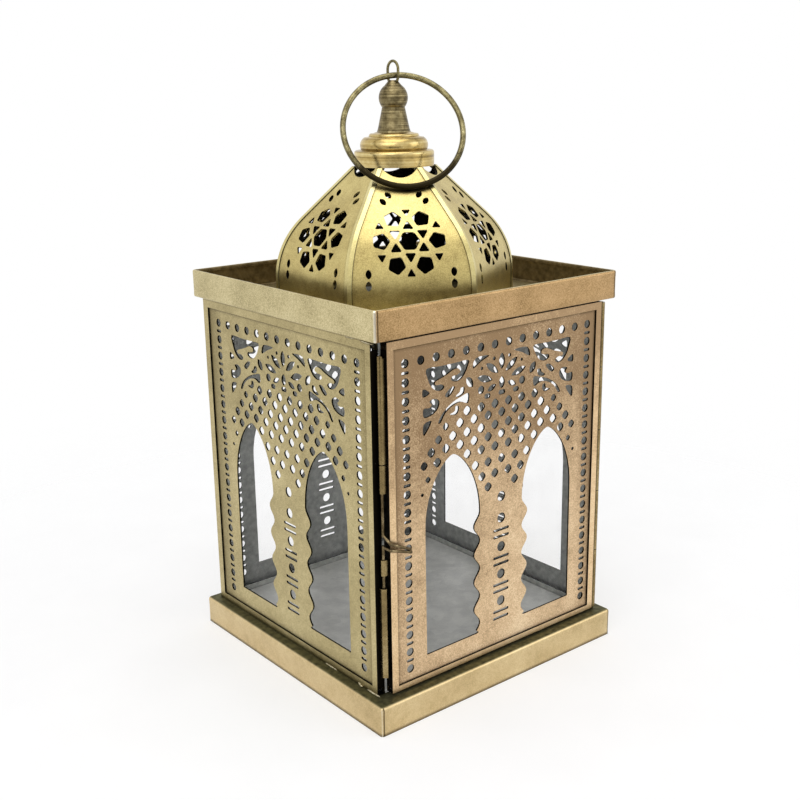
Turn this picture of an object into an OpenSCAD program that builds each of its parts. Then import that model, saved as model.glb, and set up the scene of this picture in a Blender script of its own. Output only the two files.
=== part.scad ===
// Square candle lantern of pierced sheet metal: a folded base pan, four framed panels of
// fretwork over glass (the front one is a hinged door), a gallery tray, a six-sided pierced
// dome, a turned finial and a carrying ring. Origin at the middle of the base's underside,
// +Z up, the door faces -Y.

/* [Base] */
// Outside width of the square base pan
base_w = 128; // [122:1:140]
// Height of the base pan
base_h = 12; // [8:0.5:20]
// Sheet thickness of the base pan
base_sheet = 0.9; // [0.6:0.1:1.5]
// Thickness of the loose floor plate that the candle stands on
floor_t = 0.7; // [0.4:0.1:1.0]

/* [Body] */
// Width of the ledge that the base pan leaves around the body
base_ledge = 4.5; // [3.6:0.1:7]
// Height of the body between base and tray
body_h = 138.5; // [125:0.5:170]
// Thickness of a framed panel
panel_t = 3.6; // [3.4:0.1:4.4]
// Wall of the folded edge channel
channel_wall = 0.5; // [0.4:0.05:0.7]
// Visible width of a stile's lip
stile_w = 3.0; // [2.6:0.1:3.6]
// Visible width of the bottom rail's lip
rail_low_w = 3.2; // [2.8:0.1:4]
// Visible width of the top rail's lip
rail_top_w = 4.2; // [3.4:0.1:5]
// How far sheet and glass reach into the channel
bite = 2.0; // [1.2:0.1:2.0]
// Thickness of a glass pane
glass_t = 1.7; // [1.2:0.1:1.7]

/* [Fretwork] */
// Thickness of the pierced sheet
fret_t = 0.7; // [0.4:0.1:0.7]
// Gap from the door's opening to the middle of a side column of holes
column_inset = 5.2; // [4.5:0.1:7]
// Diameter of the round border holes
border_d = 3.4; // [2.6:0.1:4]
// Width of the short border slots
dash_w = 3.4; // [2.6:0.1:4]
// Height of the short border slots
dash_h = 1.2; // [0.8:0.1:1.6]
// Gap from the panel opening to the nearest border hole's middle
border_inset = 5.3; // [4:0.1:6]
// Width across the corners of a lattice hole
lattice_d = 4.7; // [3.6:0.1:5]
// Half width of a window arch
arch_a = 14; // [12:0.1:14.5]
// Middle of a window arch from the panel's centreline
arch_u = 25.4; // [24:0.1:26]
// How far the scallops stand out from the centre column
scallop = 1.6; // [0.8:0.1:2]

/* [Door] */
// Gap under the door
door_gap_low = 1.0; // [0.6:0.1:2]
// Gap over the door
door_gap_top = 1.2; // [0.6:0.1:2]
// Notch between the door's free edge and the body's corner
latch_notch = 4.5; // [4.3:0.1:6]
// Notch between the door's hinged edge and the body's corner
hinge_notch = 2.5; // [2.4:0.1:4]
// Outside radius of the hinge barrel
hinge_r = 1.4; // [1.3:0.05:1.6]
// Radius of the hinge pin
hinge_pin_r = 0.6; // [0.4:0.05:0.8]
// Radial clearance of each pin in its tube
pin_clear = 0.07; // [0.04:0.01:0.1]
// Number of knuckles in the hinge
knuckles = 5; // [3:2:7]

/* [Latch] */
// Radius of the latch bolt's wire
bolt_r = 0.62; // [0.4:0.02:0.75]
// Outside radius of the upper guide tubes
guide_r = 1.1; // [1:0.05:1.2]
// Outside radius of the socket tube
socket_r = 1.3; // [1.15:0.05:1.35]
// Height of the socket tube's mouth above the base pan
socket_top = 44.4; // [30:0.1:48]
// Height of the socket tube's foot above the base pan
socket_low = 8; // [3:0.1:12]
// Reach of the wire handle along the door
handle_reach = 9.6; // [7:0.1:14]
// How far the bolt drops from rest to its seat in the socket
bolt_drop = 4.0; // [2:0.1:5]
// How far the bolt lifts from rest
bolt_lift = 10; // [6:0.5:12]

/* [Tray] */
// How far the tray stands out over the body on each side
tray_over = 3; // [1:0.1:6]
// Height of the tray's sides
tray_h = 11.4; // [8:0.1:16]
// Sheet thickness of the tray
tray_sheet = 0.8; // [0.6:0.1:1.2]
// Width of the folded hem along the tray's rim
hem_w = 1.5; // [1.2:0.1:2.2]
// Height of the folded hem
hem_h = 1.6; // [1:0.1:3]
// Radius of the smoke vent in the tray's floor
vent_r = 30; // [20:1:34]

/* [Dome] */
// How far the dome is soldered off the tray's middle along X
dome_x = -1.4; // [-2:0.1:2]
// How far the dome is soldered off the tray's middle along Y
dome_y = 1.1; // [-2:0.1:2]
// Angle by which the dome is turned on the tray
dome_turn = -0.8; // [-2:0.1:2]
// Distance from the axis to a flat side at the foot of the dome
dome_a = 42.5; // [39:0.5:46]
// Height of the straight foot of the dome above the tray's floor
dome_foot = 8.7; // [6:0.1:12]
// Radius of the dome's shoulder
shoulder_r = 36; // [33:0.5:38]
// Angle at which the shoulder runs out into the straight slope
shoulder_angle = 43; // [38:0.5:48]
// Height of the dome's top edge above the tray's floor
dome_h = 52.4; // [49:0.1:53]
// Depth of the round notch in each gore's top edge
notch_depth = 3.1; // [1:0.1:4]
// Sheet thickness of the dome
dome_sheet = 0.8; // [0.6:0.1:1.2]
// Width of the seam strip folded over each corner of the dome
rib_w = 3.0; // [2:0.1:3.6]
// How far a seam strip stands out from the gores
rib_out = 0.3; // [0.2:0.05:0.6]
// Radius of the pierced rosette
rosette_r = 14.1; // [12:0.1:14.5]

/* [Finial] */
// Outside radius of the collar
collar_r = 16.05; // [15:0.05:17]
// Height of the collar's plain band
collar_band = 6.1; // [5:0.1:8]
// Sheet thickness of the collar
collar_sheet = 0.85; // [0.6:0.05:1.2]
// Radius of the finial's ball
ball_r = 5.8; // [5:0.1:6.4]
// Height of the finial from the collar to the ball's middle
ball_h = 13.2; // [12:0.1:15]
// Radius of the finial's foot
foot_r = 6.3; // [5.8:0.1:7]
// Radius of the finial's neck under the ball
neck_r = 4.55; // [3.6:0.05:4.8]

/* [Ring] */
// Mean radius of the carrying ring
ring_r = 23.65; // [23:0.05:26]
// Radius of the ring's wire
ring_wire_r = 1.15; // [0.9:0.05:1.3]
// Angle at which the ring hangs off to one side
ring_side = 4.9; // [0:0.1:10]
// Mean radius of the eye's bends
eye_r = 3.25; // [3:0.05:3.6]
// Length of the eye's straight sides
eye_side = 2.2; // [1.6:0.1:3]
// Radius of the eye's wire
eye_wire_r = 0.55; // [0.4:0.05:0.6]

/* [Hidden] */
$fn = 48;
eps = 0.01;
// Clearance between pieces that lie side by side
gap = 0.05;
// Running gap beside a moving piece
run_gap = 0.3;

body_w = base_w - 2 * base_ledge;
tray_w = body_w + 2 * tray_over;
body_z = base_h;
tray_z = base_h + body_h;
half = body_w / 2;
slot_t = panel_t - 2 * channel_wall;
fret_y = channel_wall + gap;
glass_y = fret_y + fret_t + gap;
floor_w = body_w - 2 * panel_t - 2 * run_gap;

// A panel is [left end, right end, lower edge, upper edge, lip left, lip right, pattern middle,
// pattern turn], all seen from outside, in the panel's own frame: X to the right, Y inward, Z up.
// The patterns are cut by hand and sit slightly off the middle of their sheets.
left_off = -0.7;
door_off = 0.7;
door_turn = 0.35;
open_z0 = body_z + rail_low_w;
open_z1 = tray_z - rail_top_w;
corner_lip = stile_w + 0.5;
side_front = half - panel_t - 0.2;
LEFT = [-half, side_front, body_z, tray_z, corner_lip, stile_w, left_off, 0];
RIGHT = [-side_front + 0.2, half, body_z, tray_z, stile_w, corner_lip, 0, 0];
BACK = [-half + panel_t, half - panel_t, body_z, tray_z, stile_w, stile_w, 0, 0];
door_x0 = -half + latch_notch;
door_x1 = half - hinge_notch;
door_open_mid = (door_x0 + door_x1) / 2;
column_u = (door_x1 - door_x0) / 2 - stile_w - column_inset;
DOOR = [door_x0, door_x1, body_z + door_gap_low, tray_z - door_gap_top, stile_w, stile_w,
        door_open_mid + door_off, door_turn];

// The scrollwork is drawn for an opening of this height and column distance, and follows the
// real opening in both directions.
draw_u = 47.8;
draw_h = 131.1;
draw_top = 125.4;
draw_low = 5.2;
top_row_z = open_z1 - border_inset - 0.3;
low_row_z = open_z0 + border_inset;
row_n = 18;
row_pitch = (top_row_z - low_row_z) / (row_n - 1);
top_n = 14;
top_pitch = 2 * column_u / (top_n - 1);
ku = column_u / draw_u;
kz = (top_row_z - low_row_z) / (draw_top - draw_low);
mid_z = (top_row_z + low_row_z) / 2;

// Hinge and latch axes
hinge_x = door_x1 + hinge_r;
hinge_y = -half + 1.3;
hinge_z0 = body_z + door_gap_low + 0.2;
hinge_z1 = tray_z - door_gap_top - 0.3;
knuckle_pitch = (hinge_z1 - hinge_z0) / knuckles;
latch_x = door_x0 - run_gap - socket_r + 0.05;
latch_y = -side_front - socket_r - run_gap;
latch_bore = bolt_r + pin_clear;
socket_z = body_z + socket_top;
tip_z = socket_z + run_gap;
low_guide_up = 5.2;
handle_up = 16;
mid_guide_up = 20.9;
guide_space = 0.5;
guide_top_space = 6;
low_guide_z = socket_z + low_guide_up;
handle_z = tip_z + handle_up;
low_guide_h = handle_z - bolt_drop - bolt_r - run_gap - low_guide_z;
handle_rise = 4.7;
mid_guide_z = handle_z + mid_guide_up;
mid_guide_h = 10.7;
top_guide_z = mid_guide_z + mid_guide_h + guide_space;
top_guide_h = tray_z - guide_top_space - top_guide_z;
cap_t = 0.8;
bend_swell = 1.1;
bolt_top = top_guide_z + top_guide_h - cap_t - bolt_lift - guide_space;

// Dome profile in the plane of a flat side's middle
dome_z = tray_z + tray_sheet;
arc_r0 = dome_a - shoulder_r;
arc_z0 = dome_z + dome_foot;
slope_r = arc_r0 + shoulder_r * cos(shoulder_angle);
slope_z = arc_z0 + shoulder_r * sin(shoulder_angle);
rib_top_z = dome_z + dome_h + 0.5;
rib_deep = dome_sheet + 0.6;
top_r = slope_r - (dome_z + dome_h - slope_z) * tan(shoulder_angle);
notch_half = (top_r * sin(30) - rib_w / 2) / cos(30) - 0.2;
notch_r = (notch_half * notch_half + notch_depth * notch_depth) / 2 / notch_depth;
rosette_tilt = 27;
rosette_z = dome_z + 27.4;
rosette_a = arc_r0 + shoulder_r * cos(asin((rosette_z - arc_z0) / shoulder_r));

// Collar, finial, eye and ring
collar_z = rib_top_z;
shelf_h = 0.6;
bulge_h = 4.4;
bulge_r = 3.6;
bulge_up = 1.3;
bulge_out = collar_r - 2.4;
crown_h = 0.9;
crown_r = 0.9;
crown_out = collar_r - 6;
crown_rise = 0.5;
finial_z = collar_z + collar_band + shelf_h + bulge_h + shelf_h + crown_h + crown_rise;
stud_r = 1.8;
foot_flare = 0.5;
foot_h = 1.5;
ball_z = finial_z + ball_h;
neck_z = ball_z - sqrt(ball_r * ball_r - neck_r * neck_r);
boss_r = 1.7;
boss_top = ball_z + ball_r + 0.9;
eye_low_z = boss_top + ring_wire_r + 0.65;
ring_z = eye_low_z;
ring_turn = 240;
// The ring leans out until its lowest point comes to rest just clear of the dome's slope
slope_reach = slope_r * cos(shoulder_angle) + slope_z * sin(shoulder_angle);
ring_lean = shoulder_angle + asin((slope_reach + ring_wire_r + run_gap
    - ring_z * sin(shoulder_angle)) / (ring_r * (1 + cos(ring_side))));

BRASS = [0.66, 0.55, 0.33];
BRIGHT = [0.78, 0.66, 0.36];
DARK = [0.42, 0.34, 0.22];
STEEL = [0.55, 0.55, 0.56];
CLEAR = [0.75, 0.85, 0.88, 0.35];

// ---------- helpers ----------

// Smooth closed outline through a few points
function spline(p, a, b, c, d, t) =
    let (t2 = t * t, t3 = t2 * t)
    0.5 * ((2 * b) + (c - a) * t + (2 * a - 5 * b + 4 * c - d) * t2
           + (3 * b - a - 3 * c + d) * t3);

function smooth(p, steps = 3) =
    [for (i = [0:len(p) - 1], j = [0:steps - 1])
        spline(p, p[(i + len(p) - 1) % len(p)], p[i], p[(i + 1) % len(p)],
               p[(i + 2) % len(p)], j / steps)];

module box_between(low, high) {
    translate(low) cube(high - low);
}

module tube(r, bore, h) {
    difference() {
        cylinder(r = r, h = h);
        translate([0, 0, -1]) cylinder(r = bore, h = h + 2);
    }
}

// A piece of round wire between two points, with round ends
module wire(a, b, r) {
    d = b - a;
    length = norm(d);
    turn = atan2(d[1], d[0]);
    lean = acos(d[2] / length);
    translate(a) rotate([0, lean, turn]) cylinder(r = r, h = length);
}

module wire_bend(a, r) {
    translate(a) sphere(r = r);
}

// Stands a flat drawing up: drawing X stays X, drawing Y becomes Z, thickness runs along +Y
module upright(y, t) {
    translate([0, y + t, 0]) rotate([90, 0, 0]) linear_extrude(height = t) children();
}

module on_left() { translate([-half, 0, 0]) rotate([0, 0, -90]) children(); }
module on_right() { translate([half, 0, 0]) rotate([0, 0, 90]) children(); }
module on_back() { translate([0, half, 0]) rotate([0, 0, 180]) children(); }
module on_front() { translate([0, -half, 0]) children(); }
module on_tray() { translate([dome_x, dome_y, 0]) children(); }

// ---------- base ----------

module base_pan() {
    inner = base_w - 2 * base_sheet;
    color(BRASS) difference() {
        translate([-base_w / 2, -base_w / 2, 0]) cube([base_w, base_w, base_h]);
        translate([-inner / 2, -inner / 2, -1]) cube([inner, inner, base_h - base_sheet + 1]);
    }
}

module floor_plate() {
    color(STEEL) translate([-floor_w / 2, -floor_w / 2, body_z])
        cube([floor_w, floor_w, floor_t]);
}

// ---------- framed panels ----------

// Folded channel along a rail: the slot opens down on a top rail, up on a bottom rail
module rail(p, z0, z1, slot_up) {
    s0 = slot_up ? z0 + channel_wall : z0 - 1;
    s1 = slot_up ? z1 + 1 : z1 - channel_wall;
    color(BRASS) difference() {
        box_between([p[0], 0, z0], [p[1], panel_t, z1]);
        box_between([p[0] - 1, channel_wall, s0], [p[1] + 1, channel_wall + slot_t, s1]);
    }
}

module stile(x0, x1, slot_right) {
    s0 = slot_right ? x0 + channel_wall : x0 - 1;
    s1 = slot_right ? x1 + 1 : x1 - channel_wall;
    color(BRASS) difference() {
        box_between([x0, 0, open_z0], [x1, panel_t, open_z1]);
        box_between([s0, channel_wall, open_z0 - 1], [s1, channel_wall + slot_t, open_z1 + 1]);
    }
}

module top_rail(p) { rail(p, open_z1, p[3], false); }
module bottom_rail(p) { rail(p, p[2], open_z0, true); }
module stile_left(p) { stile(p[0], p[0] + p[4], true); }
module stile_right(p) { stile(p[1] - p[5], p[1], false); }

// Outline of the sheet and the pane that sit in the channels
module pane_outline(p) {
    x0 = p[0] + p[4] - bite;
    x1 = p[1] - p[5] + bite;
    z0 = open_z0 - min(bite, open_z0 - p[2] - channel_wall - gap);
    z1 = open_z1 + min(bite, p[3] - open_z1 - channel_wall - gap);
    translate([x0, z0]) square([x1 - x0, z1 - z0]);
}

module glass(p) {
    color(CLEAR) upright(glass_y, glass_t) pane_outline(p);
}

// ---------- fretwork ----------

function place(q) = [q[0] * ku, low_row_z + (q[1] - draw_low) * kz];

module hole(points, steps = 3) {
    polygon(smooth([for (q = points) place(q)], steps));
}

module both_sides() {
    children();
    mirror([1, 0]) children();
}

// Pointed leaf between two points
module leaf(a, b, width) {
    p = place(a);
    q = place(b);
    w = width * ku;
    d = q - p;
    chord = norm(d);
    r = (chord * chord / 4 + w * w / 4) / w;
    translate((p + q) / 2) rotate([0, 0, atan2(d[1], d[0])]) intersection() {
        translate([0, r - w / 2]) circle(r = r);
        translate([0, w / 2 - r]) circle(r = r);
    }
}

module dot(q, d) {
    translate(place(q)) circle(r = d * ku / 2);
}

// Slot with round ends
module slot(q, w, h) {
    translate(place(q)) scale(ku) {
        square([w - h, h], center = true);
        translate([(w - h) / 2, 0]) circle(r = h / 2);
        translate([(h - w) / 2, 0]) circle(r = h / 2);
    }
}

// Lattice hole: a square on its corner with the corners rounded off
module lattice_hole(q, k) {
    r = lattice_d / 2;
    translate(place(q)) scale([k, k]) intersection() {
        rotate([0, 0, 45]) square(r * sqrt(2), center = true);
        circle(r = r * lattice_round);
    }
}

module border() {
    for (i = [0:top_n - 1])
        translate([-column_u + i * top_pitch, top_row_z]) circle(r = border_d / 2);
    both_sides() for (i = [0:row_n - 2]) {
        translate([column_u, low_row_z + i * row_pitch]) circle(r = border_d / 2);
        translate([column_u, low_row_z + (i + 0.5) * row_pitch]) {
            square([dash_w - dash_h, dash_h], center = true);
            translate([(dash_w - dash_h) / 2, 0]) circle(r = dash_h / 2);
            translate([(dash_h - dash_w) / 2, 0]) circle(r = dash_h / 2);
        }
    }
}

// Each row: height in the drawing, then the distances from the centreline in lattice steps,
// and the size of its outermost hole. A step is half of one lattice width.
lattice_u = 3.6;
lattice_round = 0.79;
lattice_rows = [
    [102.1, [1, 3, 5], 1],
    [98.1, [0, 2, 4, 6, 8], 0.8],
    [93.7, [1, 3, 5, 7, 9], 0.9],
    [89.5, [0, 2, 4, 6, 8, 10], 1],
    [85.0, [1, 3, 5, 9.2, 11], 0.9],
    [79.3, [0, 2, 3.85, 10.5], 0.65],
    [74.0, [1, 2.9, 11.3], 0.4],
    [69.0, [2], 1]
];

module lattice() {
    for (row = lattice_rows) {
        last = len(row[1]) - 1;
        for (i = [0:last]) {
            k = i == last ? row[2] : 1;
            u = row[1][i] * lattice_u;
            lattice_hole([u, row[0]], k);
            if (u > 0) lattice_hole([-u, row[0]], k);
        }
    }
}

// Flower of leaves over the centre of the panel
module flower() {
    leaf([0, 115.1], [0, 121.5], 3.1);
    leaf([0, 107.5], [0, 112.2], 3.0);
    slot([0, 106], 3.6, 1.9);
    both_sides() {
        dot([4.1, 119.9], 1.5);
        dot([10.5, 117.1], 1.3);
        leaf([1.9, 114], [8.3, 118.6], 2.8);
        leaf([5, 111.7], [12.9, 113.9], 2.8);
        dot([10.9, 108.8], 3.2);
        leaf([3.1, 109.6], [7.6, 107.7], 2.2);
        slot([7.6, 105.8], 3.1, 2);
        leaf([15.2, 110.8], [18.2, 115], 3.0);
    }
}

scroll_points = [
    [17.3, 121.6], [17.8, 119], [19.2, 116.6], [21.2, 114.9], [23.6, 114.4], [25.9, 115.3],
    [25.4, 116.7], [23, 116.9], [21.4, 117.8], [22.4, 119.2], [25, 119.1], [27.6, 118],
    [31, 116.9], [33.7, 116.1], [33.5, 114.8], [31, 114.7], [29.3, 113.6], [30.6, 112.4],
    [33.2, 112.7], [35.6, 114.6], [37, 117.2], [37.9, 121.6], [31, 121.6], [24, 121.6]
];
crescent_points = [
    [17.2, 108.8], [21, 108.2], [25, 106.9], [28.5, 105], [31, 102.8], [32.5, 100.2],
    [31.2, 100.1], [29, 103.2], [25.4, 105.4], [21.3, 106.2], [17.6, 105]
];
heart_points = [
    [36.6, 109.3], [33.8, 109.8], [31.8, 108.3], [32.6, 105.7], [35.2, 104], [38.9, 103.4],
    [39.8, 105], [39.3, 107], [36.8, 106.8], [35.5, 107.8]
];

// Scrolls and cut-outs towards the upper corners
module corner_work() {
    both_sides() {
        hole(scroll_points);
        hole(crescent_points);
        hole(heart_points);
        hole([[6.6, 121.6], [13.6, 121.6], [15.1, 117.8], [10.8, 119.9]]);
        hole([[36.4, 112.4], [39.6, 114.4], [39.7, 111.3]]);
        hole([[35.6, 101.6], [39.6, 101], [39.4, 96.6]]);
        hole([[24.1, 112.5], [26.2, 112.6], [29, 110.2], [27.6, 109.1], [25.6, 110.4]]);
        hole([[19.4, 111.5], [21.2, 111.5], [21.8, 110.1], [23.7, 108.9], [22.5, 108.3],
              [19.8, 109.2]]);
        hole([[22.4, 104.8], [23.9, 104.9], [24.3, 103.2], [26.8, 102.3], [23.7, 101.7],
              [22.3, 103]]);
    }
}

// Tall window: straight outer side, arched head, scalloped side towards the centre column
window_low = 8;
spring_z = 59.8;
window_top = 86.6;
scallop_pitch = 11.8;
scallop_n = 4;
arch_steps = 14;
arch_flat = 1.5;
function arch_x(t) = arch_a * pow(1 - t * t, 1 / arch_flat);
function column_x(z) =
    arch_u - arch_a + scallop * (1 + cos(360 * (z - spring_z + scallop_pitch / 2)
                                         / scallop_pitch));

module window() {
    rise = window_top - spring_z;
    head = concat(
        [for (i = [0:arch_steps]) let (t = sin(90 * i / arch_steps))
            [arch_u + arch_x(t), spring_z + rise * t]],
        [for (i = [arch_steps - 1:-1:1]) let (t = sin(90 * i / arch_steps))
            [arch_u - arch_x(t), spring_z + rise * t]]);
    steps = 10;
    run = (spring_z - window_low) / (scallop_n * steps);
    side = [for (i = [0:scallop_n * steps - 1]) let (z = spring_z - i * run) [column_x(z), z]];
    foot = [[arch_u - arch_a + 0.8, window_low + 0.4], [arch_u - arch_a + 1.6, window_low],
            [arch_u + arch_a, window_low]];
    polygon([for (q = concat(head, side, foot)) place(q)]);
}

// Dots and double bars down the centre column
centre_d = 4.2;
bar_w = 8.6;
bar_h = 1.15;
module centre_column() {
    dot([0, 63.4], centre_d);
    dot([0, 54.3], centre_d);
    for (i = [0:3]) {
        z = 49.4 - i * scallop_pitch;
        slot([0, z], bar_w, bar_h);
        slot([0, z - 2.9], bar_w, bar_h);
        if (i < 3) dot([0, z - 7.35], centre_d);
    }
}

module fretwork(p) {
    color(BRASS) upright(fret_y, fret_t) difference() {
        pane_outline(p);
        translate([p[6], mid_z]) rotate(p[7]) translate([0, -mid_z]) {
            border();
            lattice();
            flower();
            corner_work();
            both_sides() window();
            centre_column();
        }
    }
}

// ---------- door hinge and latch ----------

// A knuckle rolled from a strip whose leaf is soldered to the frame beside it
module knuckle(r, bore, h, leaf_low, leaf_high) {
    difference() {
        union() {
            cylinder(r = r, h = h);
            box_between([leaf_low[0], leaf_low[1], 0], [leaf_high[0], leaf_high[1], h]);
        }
        translate([0, 0, -1]) cylinder(r = bore, h = h + 2);
    }
}

module hinge_knuckles(first, low, high) {
    h = knuckle_pitch - run_gap;
    for (i = [first:2:knuckles - 1])
        translate([hinge_x, hinge_y, hinge_z0 + i * knuckle_pitch])
            knuckle(hinge_r, hinge_pin_r + pin_clear, h, low, high);
}

module hinge_body_knuckles() {
    reach = -side_front + 0.2 - hinge_y;
    color(BRASS) hinge_knuckles(0, [hinge_r - 0.6, 0], [hinge_r, reach]);
}

module hinge_door_knuckles() {
    color(BRASS) hinge_knuckles(1, [-hinge_r, hinge_r - 0.6], [0, hinge_r]);
}

module hinge_pin() {
    color(DARK) translate([hinge_x, hinge_y, body_z])
        cylinder(r = hinge_pin_r, h = hinge_z1 - body_z);
}

// Guide tube on the door's free edge
module guide(z, h, r) {
    reach = door_x0 - latch_x;
    translate([latch_x, latch_y, z]) knuckle(r, latch_bore, h, [0, -r], [reach, 0.55 - r]);
}

module latch_top_guide() {
    color(BRASS) {
        guide(top_guide_z, top_guide_h - cap_t, guide_r);
        translate([latch_x, latch_y, top_guide_z + top_guide_h - cap_t - eps])
            cylinder(r = guide_r, h = cap_t + eps);
    }
}

module latch_middle_guide() { color(BRASS) guide(mid_guide_z, mid_guide_h, guide_r - gap); }

module latch_low_guide() { color(BRASS) guide(low_guide_z, low_guide_h, guide_r + gap); }

// Socket on the body's stile that the bolt's tip drops into
module latch_socket() {
    reach = -side_front - latch_y;
    h = socket_top - socket_low;
    color(BRASS) translate([latch_x, latch_y, body_z + socket_low])
        knuckle(socket_r, latch_bore, h, [-socket_r, 0], [0.55 - socket_r, reach]);
}

// Straight wire bent out into a narrow hairpin handle that lies in front of the door
module latch_bolt() {
    front = -half - bolt_r - run_gap - 0.2;
    low = [latch_x, latch_y, handle_z];
    high = [latch_x, latch_y, handle_z + handle_rise];
    turn_x = latch_x + 0.6;
    tip_x = latch_x + handle_reach;
    high_front = [turn_x, front - 0.3, high[2] - 2.6];
    low_front = [turn_x, front - 0.3, low[2] - 0.4];
    tip_high = [tip_x - 0.5, front - 0.9, low[2] - 1.9];
    tip_low = [tip_x, front - 0.9, low[2] - 3.2];
    path = [high, high_front, tip_high, tip_low, low_front, low];
    last = len(path) - 1;
    handle_r = bolt_r * 0.94;
    color(DARK) {
        translate([latch_x, latch_y, high[2] - bolt_r])
            cylinder(r = bolt_r, h = bolt_top - high[2] + bolt_r);
        translate([latch_x, latch_y, tip_z]) cylinder(r = bolt_r, h = low[2] - tip_z + bolt_r);
        for (i = [0:last - 1]) wire(path[i], path[i + 1], handle_r);
        for (i = [1:last - 1]) wire_bend(path[i], handle_r * bend_swell);
    }
}

// ---------- tray ----------

module tray() {
    inner = tray_w - 2 * tray_sheet;
    mouth = tray_w - 2 * hem_w;
    color(BRASS) difference() {
        translate([-tray_w / 2, -tray_w / 2, tray_z]) cube([tray_w, tray_w, tray_h]);
        translate([-inner / 2, -inner / 2, tray_z + tray_sheet])
            cube([inner, inner, tray_h - tray_sheet - hem_h]);
        translate([-mouth / 2, -mouth / 2, tray_z + tray_sheet])
            cube([mouth, mouth, tray_h]);
        translate([0, 0, tray_z - 1]) cylinder(r = vent_r, h = tray_sheet + 2);
    }
}

// ---------- dome ----------

// Cross-section of the dome's sheet, stretched outward by k for a cut through a corner.
// inset and outset move the two faces.
module dome_section(top, inset, outset) {
    r_out = shoulder_r + outset;
    r_in = shoulder_r - inset;
    a_out = arc_r0 + r_out;
    a_in = arc_r0 + r_in;
    c = cos(shoulder_angle);
    s = sin(shoulder_angle);
    fall = tan(shoulder_angle);
    p_in = [arc_r0 + r_in * c, arc_z0 + r_in * s];
    p_out = [arc_r0 + r_out * c, arc_z0 + r_out * s];
    reach = shoulder_r * 1.5;
    translate([a_in, dome_z]) square([a_out - a_in, dome_foot]);
    intersection() {
        difference() {
            translate([arc_r0, arc_z0]) circle(r = r_out);
            translate([arc_r0, arc_z0]) circle(r = r_in);
        }
        translate([arc_r0, arc_z0])
            polygon([[0, 0], [reach, 0], [reach, reach * fall], [reach * c, reach * s]]);
    }
    polygon([p_in, p_out, [p_out[0] - (top - p_out[1]) * fall, top],
             [p_in[0] - (top - p_in[1]) * fall, top]]);
}

// Rounded polygon hole of the rosette
module rosette_hole(angle, r, size, sides, spin, blunt) {
    rotate([0, 0, angle]) translate([r, 0]) rotate([0, 0, spin]) intersection() {
        circle(r = size, $fn = sides);
        circle(r = size * blunt);
    }
}

module rosette() {
    k = rosette_r / 14.1;
    rosette_hole(0, 0, 4.2 * k, 6, 0, 0.94);
    for (i = [0:5]) {
        rosette_hole(30 + 60 * i, 6.15 * k, 2.65 * k, 3, 0, 0.8);
        rosette_hole(60 * i, 10.85 * k, 3.65 * k, 5, 180, 0.93);
        rosette_hole(30 + 60 * i, 12.6 * k, 2.1 * k, 3, 180, 0.8);
    }
}

// Pairs of leaf holes in the corners of a gore
leaf_pairs = [[6.0, 20.4], [8.3, 17.4], [16.3, -12.3], [16.4, -16.5]];
module gore_leaves() {
    for (q = leaf_pairs, side = [-1, 1])
        translate([q[0] * side, q[1]]) rotate([0, 0, q[1] > 0 ? 90 - 30 * side : 90])
            intersection() {
                translate([0, 0.75]) circle(r = 1.9);
                translate([0, -0.75]) circle(r = 1.9);
            }
}

// One flat-sided gore, its side facing +X before it is turned into place
module gore(turn) {
    width = 2 * dome_a;
    reach = dome_a * 2;
    edge = rib_w / 2 / sin(30);
    color(BRIGHT) rotate([0, 0, turn + dome_turn]) difference() {
        intersection() {
            translate([0, width / 2, 0]) rotate([90, 0, 0]) linear_extrude(height = width)
                dome_section(dome_z + dome_h, dome_sheet, 0);
            translate([0, 0, dome_z - 1]) linear_extrude(height = dome_h + 2)
                polygon([[edge, 0], [edge + reach, -reach * tan(30)],
                         [edge + reach, reach * tan(30)]]);
        }
        translate([rosette_a, 0, rosette_z]) rotate([0, 90 - rosette_tilt, 0])
            rotate([0, 0, 90]) translate([0, 0, -shoulder_r / 2])
                linear_extrude(height = shoulder_r) {
                    rosette();
                    gore_leaves();
                }
        translate([0, 0, dome_z + dome_h - notch_depth + notch_r]) rotate([0, 90, 0])
            cylinder(r = notch_r, h = dome_a);
    }
}

// Everything within one flat side of the dome, moved outward by offset
module dome_prism(offset) {
    r = shoulder_r + offset;
    slope = [arc_r0 + r * cos(shoulder_angle), arc_z0 + r * sin(shoulder_angle)];
    high = rib_top_z + 1;
    translate([0, dome_a, 0]) rotate([90, 0, 0]) linear_extrude(height = 2 * dome_a) {
        translate([0, dome_z - 1]) square([arc_r0 + r, dome_foot + 1]);
        intersection() {
            translate([arc_r0, arc_z0]) circle(r = r);
            translate([0, arc_z0]) square([arc_r0 + r, slope[1] - arc_z0]);
        }
        polygon([[0, arc_z0], [slope[0], arc_z0], slope,
                 [slope[0] - (high - slope[1]) * tan(shoulder_angle), high], [0, high]]);
    }
}

// Seam strips folded over the six corners
module dome_ribs() {
    color(BRIGHT) for (i = [0:5]) rotate([0, 0, 30 + 60 * i + dome_turn]) difference() {
        intersection() {
            box_between([0, -rib_w / 2, dome_z], [2 * dome_a, rib_w / 2, rib_top_z]);
            rotate([0, 0, 30]) dome_prism(rib_out);
            rotate([0, 0, -30]) dome_prism(rib_out);
        }
        intersection() {
            rotate([0, 0, 30]) dome_prism(-rib_deep);
            rotate([0, 0, -30]) dome_prism(-rib_deep);
        }
    }
}

// ---------- collar, finial, eye and ring ----------

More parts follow.
